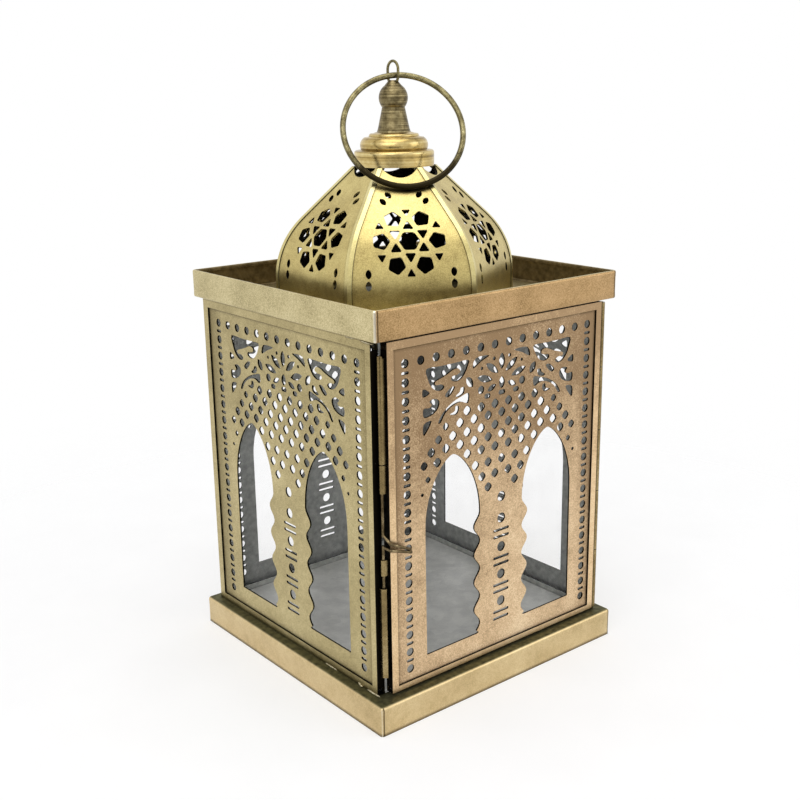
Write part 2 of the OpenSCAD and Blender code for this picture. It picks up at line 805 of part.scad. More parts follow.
module collar() {
    round = 1;
    lap = 0.2;
    bulge_z = collar_band + shelf_h;
    shelf_z = bulge_z + bulge_h;
    crown_z = shelf_z + shelf_h + crown_h;
    edge = bulge_out - bulge_r
        + sqrt(bulge_r * bulge_r - (bulge_h - bulge_up) * (bulge_h - bulge_up));
    color(BRIGHT) translate([0, 0, collar_z]) difference() {
        rotate_extrude() {
            square([collar_r, collar_band - round]);
            square([collar_r - round, collar_band]);
            translate([collar_r - round, collar_band - round]) circle(r = round);
            polygon([[0, collar_band - lap], [collar_r - round, collar_band - lap],
                     [bulge_out - 1, bulge_z], [0, bulge_z]]);
            intersection() {
                translate([bulge_out - bulge_r, bulge_z + bulge_up]) circle(r = bulge_r);
                translate([0, collar_band - lap]) square([bulge_out, shelf_z - collar_band + lap]);
            }
            translate([0, bulge_z - lap]) square([bulge_out - bulge_r, bulge_h + lap]);
            polygon([[0, shelf_z - lap], [edge - lap, shelf_z - lap],
                     [crown_out - 0.5, shelf_z + shelf_h], [0, shelf_z + shelf_h]]);
            translate([crown_out - crown_r, crown_z - crown_r]) circle(r = crown_r);
            translate([0, shelf_z - lap]) square([crown_out - crown_r, crown_z - shelf_z + lap]);
            polygon([[0, crown_z - lap], [crown_out - crown_r, crown_z - lap],
                     [foot_r + foot_flare + 0.3, crown_z + crown_rise],
                     [0, crown_z + crown_rise]]);
        }
        translate([0, 0, -1]) cylinder(r = collar_r - collar_sheet,
                                       h = collar_band - collar_sheet + 1);
        translate([0, 0, -1]) cylinder(r = stud_r + pin_clear, h = finial_z - collar_z + 2);
    }
}

module finial() {
    tip_low = ball_r * 0.7;
    tip_r = ball_r * 0.68;
    stud = finial_z - collar_z - collar_band + collar_sheet + 1.5;
    color(DARK) difference() {
        union() {
            translate([0, 0, finial_z - stud]) cylinder(r = stud_r, h = stud + eps);
            translate([0, 0, finial_z])
                cylinder(r1 = foot_r + foot_flare, r2 = foot_r, h = foot_h);
            translate([0, 0, finial_z + foot_h])
                cylinder(r1 = foot_r, r2 = neck_r, h = neck_z - finial_z - foot_h);
            translate([0, 0, ball_z]) sphere(r = ball_r);
            translate([0, 0, ball_z + tip_low])
                cylinder(r1 = tip_r, r2 = boss_r, h = boss_top - ball_z - tip_low);
        }
        eye_bend(eye_low_z, -90, eye_wire_r + pin_clear);
    }
}

// Half ring of wire standing in the YZ plane, about a point on the axis
module eye_bend(z, turn, r) {
    translate([0, 0, z]) rotate([0, 90, 0]) rotate([0, 0, turn < 0 ? -90 : 90])
        rotate_extrude(angle = 180) translate([eye_r, 0]) circle(r = r);
}

// Closed wire eye threaded through the finial's tip
module eye() {
    color(DARK) {
        eye_bend(eye_low_z, -90, eye_wire_r);
        eye_bend(eye_low_z + eye_side, 90, eye_wire_r);
        for (s = [-1, 1]) translate([0, s * eye_r, eye_low_z])
            cylinder(r = eye_wire_r, h = eye_side);
    }
}

module ring() {
    color(DARK) translate([0, 0, ring_z]) rotate([0, 0, ring_turn])
        rotate([ring_side, -ring_lean, 0]) translate([0, 0, -ring_r])
            rotate([0, 90, 0]) rotate_extrude() translate([ring_r, 0]) circle(r = ring_wire_r);
}

// ---------- nodes ----------

base_pan();
floor_plate();
on_left() top_rail(LEFT);  // left_top_rail
on_left() bottom_rail(LEFT);  // left_bottom_rail
on_left() stile_left(LEFT);  // left_rear_stile
on_left() stile_right(LEFT);  // left_front_stile
on_left() fretwork(LEFT);  // left_fretwork
on_left() glass(LEFT);  // left_glass
on_right() top_rail(RIGHT);  // right_top_rail
on_right() bottom_rail(RIGHT);  // right_bottom_rail
on_right() stile_left(RIGHT);  // right_front_stile
on_right() stile_right(RIGHT);  // right_rear_stile
on_right() fretwork(RIGHT);  // right_fretwork
on_right() glass(RIGHT);  // right_glass
on_back() top_rail(BACK);  // back_top_rail
on_back() bottom_rail(BACK);  // back_bottom_rail
on_back() stile_left(BACK);  // back_right_stile
on_back() stile_right(BACK);  // back_left_stile
on_back() fretwork(BACK);  // back_fretwork
on_back() glass(BACK);  // back_glass
on_front() top_rail(DOOR);  // door_top_rail
on_front() bottom_rail(DOOR);  // door_bottom_rail
on_front() stile_left(DOOR);  // door_latch_stile
on_front() stile_right(DOOR);  // door_hinge_stile
on_front() fretwork(DOOR);  // door_fretwork
on_front() glass(DOOR);  // door_glass
hinge_body_knuckles();
hinge_door_knuckles();
hinge_pin();
latch_top_guide();
latch_middle_guide();
latch_low_guide();
latch_socket();
latch_bolt();
tray();
on_tray() gore(0);  // dome_gore_right
on_tray() gore(60);  // dome_gore_back_right
on_tray() gore(120);  // dome_gore_back_left
on_tray() gore(180);  // dome_gore_left
on_tray() gore(240);  // dome_gore_front_left
on_tray() gore(300);  // dome_gore_front_right
on_tray() dome_ribs();
on_tray() collar();
on_tray() finial();
on_tray() eye();
on_tray() ring();
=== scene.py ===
"""Blender scene of a square candle lantern in pierced, antiqued brass.

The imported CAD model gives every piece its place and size. This script finishes the sheet,
wire, turned and glass pieces with procedural materials, replaces the two folded pans with
sheet that has rounded folds and a rolled rim, adds the solder at the joints, and sets up a
studio with a camera that looks down at the corner between the left panel and the door.
Lengths are millimetres unless a name says otherwise.
"""
import logging
import math
from dataclasses import dataclass
from enum import Enum
from typing import Any, Iterable, Mapping, Optional, Sequence, Union

import bmesh
import bpy
from mathutils import Matrix, Vector, noise


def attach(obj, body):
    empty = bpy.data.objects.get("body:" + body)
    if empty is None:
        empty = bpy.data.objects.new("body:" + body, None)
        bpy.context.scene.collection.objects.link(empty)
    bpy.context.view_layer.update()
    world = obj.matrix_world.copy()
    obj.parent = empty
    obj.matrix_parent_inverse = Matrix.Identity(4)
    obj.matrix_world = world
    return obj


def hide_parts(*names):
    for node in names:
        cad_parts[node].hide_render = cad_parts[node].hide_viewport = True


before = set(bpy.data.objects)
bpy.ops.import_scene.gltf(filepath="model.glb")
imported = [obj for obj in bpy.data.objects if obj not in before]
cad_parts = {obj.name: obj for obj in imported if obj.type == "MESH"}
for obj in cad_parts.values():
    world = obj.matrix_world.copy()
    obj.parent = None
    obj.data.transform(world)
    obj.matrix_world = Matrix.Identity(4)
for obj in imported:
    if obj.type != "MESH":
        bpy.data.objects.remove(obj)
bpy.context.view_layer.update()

LOG = logging.getLogger("lantern")
MM = 0.001
X, Y, Z = 0, 1, 2

# A Mix node has inputs of one name for each kind of value: these are the colours' numbers
MIX_A, MIX_B = 6, 7
RGBA = {"data_type": "RGBA", "out": 2}
# Makes a Map Range node a soft step from 0 to 1
SOFT = {"interpolation_type": "SMOOTHSTEP"}
# Weight of each finer octave of noise, and the rays that look for closed-in places
OCTAVE = 0.55
GRIME_RAYS = 6
# Rows of faces round a softened edge, and the smallest angle of an edge that is softened
EDGE_ROWS = 2
EDGE_DEG = 40.0

Colour = tuple[float, float, float, float]
Link = bpy.types.NodeSocket
Point = tuple[float, float, float]
Span = tuple[float, float]


class Body(Enum):
    """The record's body that the pieces made here ride on."""

    LANTERN = "lantern"


class Slot(Enum):
    """The record's material slot antique_brass, which nothing in this script uses."""

    ANTIQUE = "antique_brass"


class Panel(Enum):
    """The framed panels, by the first word of their nodes' names."""

    LEFT = "left"
    RIGHT = "right"
    BACK = "back"
    DOOR = "door"


def linear(code: str) -> Colour:
    """Turns an sRGB hex colour into Blender's linear colour.

    Args:
        code: Six hex digits, red first.

    Returns:
        Red, green, blue and an alpha of 1.
    """
    parts = [int(code[i : i + 2], 16) / 255 for i in (0, 2, 4)]
    red, green, blue = (p / 12.92 if p <= 0.04045 else ((p + 0.055) / 1.055) ** 2.4 for p in parts)
    return (red, green, blue, 1.0)


# ---------------------------------------------------------------- material graphs


@dataclass(frozen=True)
class Pattern:
    """Noise of one real size.

    Attributes:
        size: Width of its features.
        detail: Octaves of finer noise in it.
        share: How far it moves a tone, or its depth where it is a relief.
        stretch: How many times longer its features are along each axis.
    """

    size: float
    detail: float = 2.0
    share: float = 1.0
    stretch: Point = (1.0, 1.0, 1.0)


@dataclass(frozen=True)
class ClosedInShade:
    """Painted shade, darker where a surface is closed in.

    Attributes:
        reach: How far away another face still counts.
        openness: Openness, from 1 to 0, below which it starts, and below which it is full.
        cover: How much of the metal it hides where it is full.
    """

    reach: float
    openness: Span
    cover: float


@dataclass(frozen=True)
class Fade:
    """A slow change of tone with height, used as painted shade.

    Attributes:
        heights: Where it starts and where it is complete.
        change: How far it moves the tone.
    """

    heights: Span
    change: float


class Graph:
    """The node tree of a material or world."""

    def __init__(self, owner: Union[bpy.types.Material, bpy.types.World]) -> None:
        """Starts with an empty tree.

        Args:
            owner: The new material or world.
        """
        self.owner = owner
        owner.use_nodes = True
        self.tree = owner.node_tree
        self.tree.nodes.clear()

    def add(
        self,
        kind: str,
        *values: Any,
        fill: Optional[Mapping[Any, Any]] = None,
        out: Union[int, str] = 0,
        stops: Iterable[tuple[float, str]] = (),
        **settings: Any,
    ) -> Optional[Link]:
        """Adds a node with its settings and links.

        Args:
            kind: The node's type, without the ShaderNode prefix.
            values: Values or sockets for its first inputs, in order.
            fill: Values or sockets for other inputs, by name or number.
            out: Name or number of the output that is wanted.
            stops: Places from 0 to 1 with their hex colours, for a colour ramp.
            settings: Attributes of the node.

        Returns:
            The output's socket, or None where the node has no output.
        """
        node = self.tree.nodes.new("ShaderNode" + kind)
        for key, value in settings.items():
            setattr(node, key, value)
        for key, value in {**dict(enumerate(values)), **(fill or {})}.items():
            if isinstance(value, bpy.types.NodeSocket):
                self.tree.links.new(value, node.inputs[key])
            else:
                node.inputs[key].default_value = value
        for number, (place, code) in enumerate(stops):
            elements = node.color_ramp.elements
            if number == len(elements):
                elements.new(place)
            elements[number].position = place
            elements[number].color = linear(code)
        return node.outputs[out] if node.outputs else None

    def plain_rays(self) -> Link:
        """Tells the rays that show the plain background from those that light the object.

        Returns:
            A socket that is 1 for rays from the camera, off gloss or through glass, or else 0.
        """
        seen = self.add("LightPath", out="Is Camera Ray")
        for kind in ("Is Glossy Ray", "Is Transmission Ray"):
            seen = self.add("Math", seen, self.add("LightPath", out=kind), operation="MAXIMUM")
        return seen


class Surface(Graph):
    """A new material's tree, with the sums that the finishes share."""

    def __init__(self, name: str) -> None:
        """Starts the material.

        Args:
            name: The material's name.
        """
        super().__init__(bpy.data.materials.new(name))
        self.normal = self.add("TexCoord", out="Normal")
        metres = self.add("TexCoord", out="Object")
        self.place = self.add("VectorMath", metres, fill={"Scale": 1 / MM}, operation="SCALE")

    def noise(self, pattern: Pattern) -> Link:
        """Adds noise of a real size.

        Args:
            pattern: The noise's size, detail and stretch.

        Returns:
            A socket from 0 to 1.
        """
        squeeze = tuple(1.0 / s for s in pattern.stretch)
        where = self.add("VectorMath", self.place, squeeze, operation="MULTIPLY")
        scale = {"Scale": 1.0 / pattern.size, "Detail": pattern.detail, "Roughness": OCTAVE}
        return self.add("TexNoise", fill={"Vector": where, **scale})

    def vary(self, base: Any, value: Link, share: float) -> Link:
        """Moves a base value by a pattern's swing about its middle.

        Args:
            base: The number or socket to move.
            value: The pattern, from 0 to 1.
            share: How far the whole swing moves the base.

        Returns:
            The moved value's socket.
        """
        swing = self.add("Math", value, 0.5, operation="SUBTRACT")
        return self.add("Math", swing, share, base, operation="MULTIPLY_ADD")

    def risen(self, heights: Span) -> Link:
        """Steps softly from 0 at the first height to 1 at the second."""
        height = self.add("SeparateXYZ", self.place, out=Z)
        return self.add("MapRange", height, *heights, **SOFT)

    def closed_in_shade(self, painted_shade: ClosedInShade) -> Link:
        """Finds where the painted shade goes, by how closed in the surface is.

        Args:
            painted_shade: The painted shade's reach and strength.

        Returns:
            A socket from 0 where the surface is open, up to the shade's cover.
        """
        reach = {"Distance": painted_shade.reach * MM}
        openness = self.add("AmbientOcclusion", fill=reach, out="AO", samples=GRIME_RAYS)
        depth = self.add("MapRange", openness, *painted_shade.openness, **SOFT)
        return self.add("Math", depth, painted_shade.cover, operation="MULTIPLY")

    def relief(self, *layers: tuple[Link, float]) -> Link:
        """Lays reliefs on each other.

        Args:
            layers: Heights from 0 to 1, each with the depth that 1 stands for, lowest first.

        Returns:
            The normal's socket.
        """
        under: dict[str, Link] = {}
        for height, depth in layers:
            bump = self.add("Bump", fill={"Height": height, "Distance": depth * MM, **under})
            under = {"Normal": bump}
        return under["Normal"]

    def finish(self, inputs: Mapping[str, Any]) -> bpy.types.Material:
        """Ends the material with its shader.

        Args:
            inputs: Values or sockets for the shader's inputs, by name.

        Returns:
            The material.
        """
        self.add("OutputMaterial", self.add("BsdfPrincipled", fill=inputs))
        return self.owner


# ---------------------------------------------------------------- finishes

# Painted shade in every corner, a thin painted shadow beside every step, and painted shade in
# turned grooves
CORNER_SHADE = ClosedInShade(reach=3.2, openness=(0.62, 0.2), cover=0.85)
STEP_SHADOW = ClosedInShade(reach=1.6, openness=(0.97, 0.72), cover=0.8)
GROOVE_SHADE = ClosedInShade(reach=2.5, openness=(0.7, 0.25), cover=0.8)
# Where two tones stand on a pattern
PAIR = (0.3, 0.7)


@dataclass(frozen=True)
class Side:
    """Which faces of a piece show its outer finish.

    Attributes:
        across: Weights of the place and the normal along each axis.
        zone: Product of the two at which the edge tone ends and the outer finish is full.
        inner: Dark and light tone of the inner faces.
        edge: Tone of the faces that look neither out nor in, or empty for the inner tone.
        rough: Least roughness of the inner faces, which nobody brushed.
    """

    across: Point
    zone: Span
    inner: tuple[str, str]
    edge: str = ""
    rough: float = 0.6


@dataclass(frozen=True)
class Corners:
    """The upright corners of a folded pan, with their seam lines and painted highlights.

    Attributes:
        seam: Distance from the axis of the line where the sheet is lapped.
        line: Distances from the seam at which the line ends and is full.
        dark: How much of the plate the line hides.
        facing: How squarely a face looks along Y where the line starts and is full.
        painted_light: Distances from the axis at which the painted highlight starts and is full.
        painted_highlight: How much of the plate the painted highlight covers.
        bright: Colour of the painted highlight.
    """

    seam: float
    painted_light: Span
    line: Span = (0.42, 0.12)
    dark: float = 0.8
    facing: Span = (0.5, 0.7)
    painted_highlight: float = 0.75
    bright: str = "f6efda"


@dataclass(frozen=True)
class PlatedSheet:
    """Thin steel sheet with an antiqued brass plate, brushed by hand.

    The eye sees soft clouds of tone from the plating bath and speckle from the steel under it.
    It is painted darker in closed-in corners and beside steps as painted shade, and paler
    along the rounded corners as a painted highlight.

    Attributes:
        name: The material's name.
        tones: Dark, middle and light tone of the plate.
        stops: Where the three tones stand on the pattern.
        painted_shade: Colour of the painted shade in closed-in corners and beside steps, and of
        the seam lines.
        rough: Lowest and highest roughness. Brushed brass has about 0.3.
        cloud: The broad clouds of tone.
        mottle: Small patches of tone and gloss.
        grain: The speckle. It is about 0.1 mm wide on the metal, which is too fine to show,
            so it is drawn four times as coarse.
        pit: Depth of the speckle.
        wave: The sheet's slow unevenness.
        stain: Dark spots of the patina.
        spots: Values of the stain pattern at which a spot starts and is full.
        side: Which faces are outer ones, or None for all.
        turned: Tint of the faces that look along Y, painted light as from lamps of another colour.
        turned_from: How squarely a face looks along Y where that tint starts and is full.
        fade: How the tone changes with height, as painted shade, or None.
        edge_shade: How much darker a panel is at its upright edges.
        edge_zone: Distances from the middle at which those edges start and are full.
        ragged: How far the clouds shift the start of those edges.
        corners: The upright corners, with seams and painted highlights, or None for a piece
        that is no pan.
    """

    name: str
    tones: tuple[str, str, str]
    stops: Point = (0.1, 0.5, 0.9)
    painted_shade: str = "2b2112"
    rough: Span = (0.3, 0.44)
    cloud: Pattern = Pattern(17.0, detail=4.0, share=0.7)
    mottle: Pattern = Pattern(2.4, detail=3.0, share=0.3)
    grain: Pattern = Pattern(0.42, share=0.5)
    pit: float = 0.02
    wave: Pattern = Pattern(11.0, detail=1.0, share=0.25)
    stain: Pattern = Pattern(7.0, detail=5.0, share=0.3)
    spots: Span = (0.64, 0.8)
    side: Optional[Side] = None
    turned: str = ""
    turned_from: Span = (0.4, 0.7)
    fade: Optional[Fade] = None
    edge_shade: float = 0.0
    edge_zone: Span = (44.0, 56.0)
    ragged: float = 14.0
    corners: Optional[Corners] = None

    def build(self) -> bpy.types.Material:
        """Builds the material.

        Returns:
            The material.
        """
        g = Surface(self.name)
        mottle = g.noise(self.mottle)
        fine = g.noise(self.grain)
        low, high = self.rough
        rough = g.add("Math", mottle, high - low, low, operation="MULTIPLY_ADD")
        # Painted shade: darker in closed-in corners and in a thin line beside every step
        layers = [g.closed_in_shade(painted_shade) for painted_shade in (CORNER_SHADE, STEP_SHADOW)]
        painted_shade = g.add("Math", *layers, operation="MAXIMUM")
        plate = self._plate(g, mottle, fine)
        colour = g.add("Mix", painted_shade, fill={MIX_A: plate, MIX_B: linear(self.painted_shade)}, **RGBA)
        # Painted highlight along the rounded corners, and the dark seam lines beside them
        if self.corners:
            colour = self._cornered(g, colour, self.corners)
        if self.side:
            colour, rough = self._sided(g, colour, rough, mottle, self.side)
        normal = g.relief((fine, self.pit), (g.noise(self.wave), self.wave.share))
        return g.finish(
            {"Base Color": colour, "Metallic": 1.0, "Roughness": rough, "Normal": normal}
        )

    def _plate(self, g: Surface, mottle: Link, fine: Link) -> Link:
        """Gives the plate's colour, before the painted shade of closed-in places.

        Args:
            g: The material's tree.
            mottle: The small patches.
            fine: The speckle.

        Returns:
            The colour's socket.
        """
        cloud = g.noise(self.cloud)
        tone = g.vary(0.5, cloud, self.cloud.share)
        tone = g.vary(tone, mottle, self.mottle.share)
        tone = g.vary(tone, fine, self.grain.share)
        # Painted shade: the tone grows darker towards the top, under the tray
        if self.fade:
            risen = g.risen(self.fade.heights)
            tone = g.add("Math", risen, self.fade.change, tone, operation="MULTIPLY_ADD")
        if self.edge_shade and self.side:
            along = g.add("SeparateXYZ", g.place, out=Y if self.side.across[X] else X)
            torn = g.vary(g.add("Math", along, operation="ABSOLUTE"), cloud, self.ragged)
            near = g.add("MapRange", torn, *self.edge_zone, **SOFT)
            tone = g.add("Math", near, -self.edge_shade, tone, operation="MULTIPLY_ADD")
        colour = g.add("ValToRGB", tone, stops=zip(self.stops, self.tones))
        # Painted light: the faces that look along Y take a tint, as if lit by lamps of another
        # colour
        if self.turned:
            tint = {MIX_A: colour, MIX_B: linear(self.turned)}
            tinted = g.add("Mix", 1.0, fill=tint, blend_type="MULTIPLY", **RGBA)
            facing = self._along_y(g, self.turned_from)
            colour = g.add("Mix", facing, fill={MIX_A: colour, MIX_B: tinted}, **RGBA)
        spots = g.add("MapRange", g.noise(self.stain), *self.spots, **SOFT)
        spots = g.add("Math", spots, self.stain.share, operation="MULTIPLY")
        return g.add("Mix", spots, fill={MIX_A: colour, MIX_B: linear(self.tones[0])}, **RGBA)

    @staticmethod
    def _along_y(g: Surface, zone: Span) -> Link:
        """Finds the faces that look along Y.

        Args:
            g: The material's tree.
            zone: The normal's share of Y at which the result leaves 0, and at which it is 1.

        Returns:
            A socket from 0 to 1.
        """
        share = g.add("Math", g.add("SeparateXYZ", g.normal, out=Y), operation="ABSOLUTE")
        return g.add("MapRange", share, *zone, **SOFT)

    @staticmethod
    def _sided(
        g: Surface, colour: Link, rough: Link, mottle: Link, side: Side
    ) -> tuple[Link, Link]:
        """Keeps the brushed plate to the outer faces.

        Args:
            g: The material's tree.
            colour: Colour of the outer faces.
            rough: Roughness of the outer faces.
            mottle: The small patches, which the inner faces show too.
            side: Which faces are outer ones.

        Returns:
            The sockets of the colour and the roughness.
        """
        place = g.add("VectorMath", g.place, side.across, operation="MULTIPLY")
        facing = g.add("VectorMath", place, g.normal, out="Value", operation="DOT_PRODUCT")
        outer = g.add("MapRange", facing, *side.zone, **SOFT)
        inner = g.add("ValToRGB", mottle, stops=zip(PAIR, side.inner))
        if side.edge:
            within = g.add("MapRange", facing, *(-product for product in side.zone), **SOFT)
            inner = g.add("Mix", within, fill={MIX_A: linear(side.edge), MIX_B: inner}, **RGBA)
        colour = g.add("Mix", outer, fill={MIX_A: inner, MIX_B: colour}, **RGBA)
        dull = g.add("Math", outer, -side.rough, side.rough, operation="MULTIPLY_ADD")
        return colour, g.add("Math", rough, dull, operation="MAXIMUM")

    def _cornered(self, g: Surface, colour: Link, corners: Corners) -> Link:
        """Adds a painted highlight along each rounded corner and the lapped seam beside it.

        Args:
            g: The material's tree.
            colour: The colour so far.
            corners: Where the seams and the painted highlights are.

        Returns:
            The colour's socket.
        """
        x, y = (
            g.add("Math", g.add("SeparateXYZ", g.place, out=axis), operation="ABSOLUTE")
            for axis in (X, Y)
        )
        near = g.add("Math", x, y, operation="MINIMUM")
        # Painted highlight: a pale band along each rounded corner
        painted_highlight = g.add("MapRange", near, *corners.painted_light, **SOFT)
        painted_highlight = g.add("Math", painted_highlight, corners.painted_highlight, operation="MULTIPLY")
        colour = g.add("Mix", painted_highlight, fill={MIX_A: colour, MIX_B: linear(corners.bright)}, **RGBA)
        # The lapped seam's dark line, in the same dark colour as the painted shade
        away = g.add("Math", x, corners.seam, operation="SUBTRACT")
        away = g.add("Math", away, operation="ABSOLUTE")
        line = g.add("MapRange", away, *corners.line, **SOFT)
        line = g.add("Math", line, self._along_y(g, corners.facing), operation="MULTIPLY")
        line = g.add("Math", line, corners.dark, operation="MULTIPLY")
        return g.add("Mix", line, fill={MIX_A: colour, MIX_B: linear(self.painted_shade)}, **RGBA)


@dataclass(frozen=True)
class TurnedBrass:
    """Brass turned on a lathe, or spun over a former.

    The eye sees fine lines all round it from the tool, and patches where the patina wore off.
    Its grooves and closed-in places are darkened as painted shade.

    Attributes:
        name: The material's name.
        tones: Dark, middle and light tone.
        line: The tool lines. Real ones are about 0.2 mm apart, so they are drawn coarser.
        depth: Depth of the tool lines.
        patch: The patina's patches.
        pit: Pits of the casting, drawn coarser than real, with their depth.
        rough: Lowest and highest roughness.
        stops: Where the three tones stand on the pattern.
        painted_shade: Colour of the painted shade in the grooves.
    """

    name: str
    tones: tuple[str, str, str]
    line: Pattern = Pattern(0.55, share=0.85, stretch=(60.0, 60.0, 1.0))
    depth: float = 0.03
    patch: Pattern = Pattern(1.6, detail=4.0, share=0.6)
    pit: Pattern = Pattern(0.35, share=0.012)
    rough: Span = (0.3, 0.5)
    stops: Point = (0.25, 0.5, 0.8)
    painted_shade: str = "17120b"

    def build(self) -> bpy.types.Material:
        """Builds the material.

        Returns:
            The material.
        """
        g = Surface(self.name)
        rings = g.noise(self.line)
        patches = g.noise(self.patch)
        tone = g.vary(g.vary(0.5, patches, self.patch.share), rings, self.line.share)
        colour = g.add("ValToRGB", tone, stops=zip(self.stops, self.tones))
        # Painted shade in the grooves and other closed-in places
        painted_shade = g.closed_in_shade(GROOVE_SHADE)
        colour = g.add("Mix", painted_shade, fill={MIX_A: colour, MIX_B: linear(self.painted_shade)}, **RGBA)
        low, high = self.rough
        rough = g.add("Math", patches, high - low, low, operation="MULTIPLY_ADD")
        normal = g.relief((g.noise(self.pit), self.pit.share), (rings, self.depth))
        return g.finish(
            {"Base Color": colour, "Metallic": 1.0, "Roughness": rough, "Normal": normal}
        )


@dataclass(frozen=True)
class DrawnWire:
    """Drawn brass wire with a worn dark patina.

    The eye sees a narrow highlight along it that dark patches break up.

    Attributes:
        name: The material's name.
        tones: Dark, middle and light tone.
        rough: Lowest and highest roughness.
        patch: The patina's patches.
        speckle: The patina's grain, drawn coarser than real so that it shows.
        pit: Depth of that grain.
        stops: Where the three tones stand on the pattern.
        painted_light: Painted shade, how much darker it is below, or None.
    """

    name: str
    tones: tuple[str, str, str]
    rough: Span
    patch: Pattern = Pattern(3.5, detail=4.0, share=0.55)
    speckle: Pattern = Pattern(0.3, share=0.45)
    pit: float = 0.015
    stops: Point = (0.3, 0.5, 0.72)
    painted_light: Optional[Fade] = None

    def build(self) -> bpy.types.Material:
        """Builds the material.

        Returns:
            The material.
        """
        g = Surface(self.name)
        patches = g.noise(self.patch)
        fine = g.noise(self.speckle)
        tone = g.vary(g.vary(0.5, patches, self.patch.share), fine, self.speckle.share)
        # Painted shade: darker below the given heights
        if self.painted_light:
            below = g.add("Math", g.risen(self.painted_light.heights), 1.0, operation="SUBTRACT")
            tone = g.add("Math", below, self.painted_light.change, tone, operation="MULTIPLY_ADD")
        low, high = self.rough
        rough = g.add("Math", patches, high - low, low, operation="MULTIPLY_ADD")
        return g.finish(
            {
                "Base Color": g.add("ValToRGB", tone, stops=zip(self.stops, self.tones)),
                "Metallic": 1.0,
                "Roughness": rough,
                "Normal": g.relief((fine, self.pit)),
            }
        )


@dataclass(frozen=True)
class GalvanisedSheet:
    """Hot-dipped zinc on sheet steel, dulled by oxide and wax.

    The eye sees pale grey with faint flat crystals, dust in clouds and long scratches.

    Attributes:
        name: The material's name.
        tones: Dark and light tone of the zinc.
        crystal: Width of the crystals.
        crystal_share: How far a crystal moves the tone.
        dust: The clouds of dust.
        scratch: The scratches, drawn wider than real so that they show.
        cut: Values of the scratch pattern at which a scratch starts and is full.
        bare: Colour of the metal in a scratch.
        rough: Lowest and highest roughness.
        metallic: Less than 1, because oxide covers the metal.
        wave: The sheet's slow unevenness.
    """

    name: str
    tones: tuple[str, str]
    crystal: float = 4.0
    crystal_share: float = 0.18
    dust: Pattern = Pattern(9.0, detail=5.0)
    scratch: Pattern = Pattern(0.5, detail=1.0, share=0.25, stretch=(60.0, 1.0, 1.0))
    cut: Span = (0.68, 0.74)
    bare: str = "d8d8d4"
    rough: Span = (0.42, 0.67)
    metallic: float = 0.4
    wave: Pattern = Pattern(14.0, detail=1.0, share=0.2)

    def build(self) -> bpy.types.Material:
        """Builds the material.

        Returns:
            The material.
        """
        g = Surface(self.name)
        scale = {"Vector": g.place, "Scale": 1.0 / self.crystal}
        cells = g.add("TexVoronoi", fill=scale, out="Color")
        dust = g.noise(self.dust)
        tone = g.vary(dust, g.add("SeparateColor", cells), self.crystal_share)
        colour = g.add("ValToRGB", tone, stops=zip(PAIR, self.tones))
        cut = g.add("MapRange", g.noise(self.scratch), *self.cut, **SOFT)
        cut = g.add("Math", cut, self.scratch.share, operation="MULTIPLY")
        low, high = self.rough
        return g.finish(
            {
                "Base Color": g.add(
                    "Mix", cut, fill={MIX_A: colour, MIX_B: linear(self.bare)}, **RGBA
                ),
                "Metallic": self.metallic,
                "Roughness": g.add("Math", dust, high - low, low, operation="MULTIPLY_ADD"),
                "Normal": g.relief((g.noise(self.wave), self.wave.share)),
            }
        )


@dataclass(frozen=True)
class WindowGlass:
    """Clear drawn glass with a film of dust.

    The eye sees through it, with a faint veil that is thicker in smears and specks. It is
    drawn as a nearly clear film, which thins its gloss too, so its IOR is above glass's 1.5.

    Attributes:
        name: The material's name.
        tint: Colour of the veil.
        veil: Share of light that the clean pane holds back.
        dust: Share that the dustiest places add.
        smear: The smears.
        smeared: Values of the smear pattern at which one starts and is full.
        speck: The specks, drawn coarser than real so that they show.
        specked: Values of the speck pattern at which one starts and is full.
        rough: Roughness of the clean and of the dusty pane.
        ior: The film's index of refraction.
        wave: The pane's slow unevenness.
    """

    name: str
    tint: str
    veil: float
    dust: float
    smear: Pattern = Pattern(16.0, detail=4.0)
    smeared: Span = (0.4, 0.75)
    speck: Pattern = Pattern(0.7, detail=1.0, share=0.8)
    specked: Span = (0.7, 0.8)
    rough: Span = (0.06, 0.16)
    ior: float = 1.9
    wave: Pattern = Pattern(20.0, detail=1.0, share=0.12)

    def build(self) -> bpy.types.Material:
        """Builds the material.

        Returns:
            The material.
        """
        g = Surface(self.name)
        smear = g.add("MapRange", g.noise(self.smear), *self.smeared, **SOFT)
        specks = g.add("MapRange", g.noise(self.speck), *self.specked, **SOFT)
        specks = g.add("Math", specks, self.speck.share, operation="MULTIPLY")
        film = g.add("Math", smear, specks, operation="MAXIMUM")
        low, high = self.rough
        return g.finish(
            {
                "Base Color": linear(self.tint),
                "Metallic": 0.0,
                "Roughness": g.add("Math", smear, high - low, low, operation="MULTIPLY_ADD"),
                "IOR": self.ior,
                "Alpha": g.add("Math", film, self.dust, self.veil, operation="MULTIPLY_ADD"),
                "Normal": g.relief((g.noise(self.wave), self.wave.share)),
            }
        )


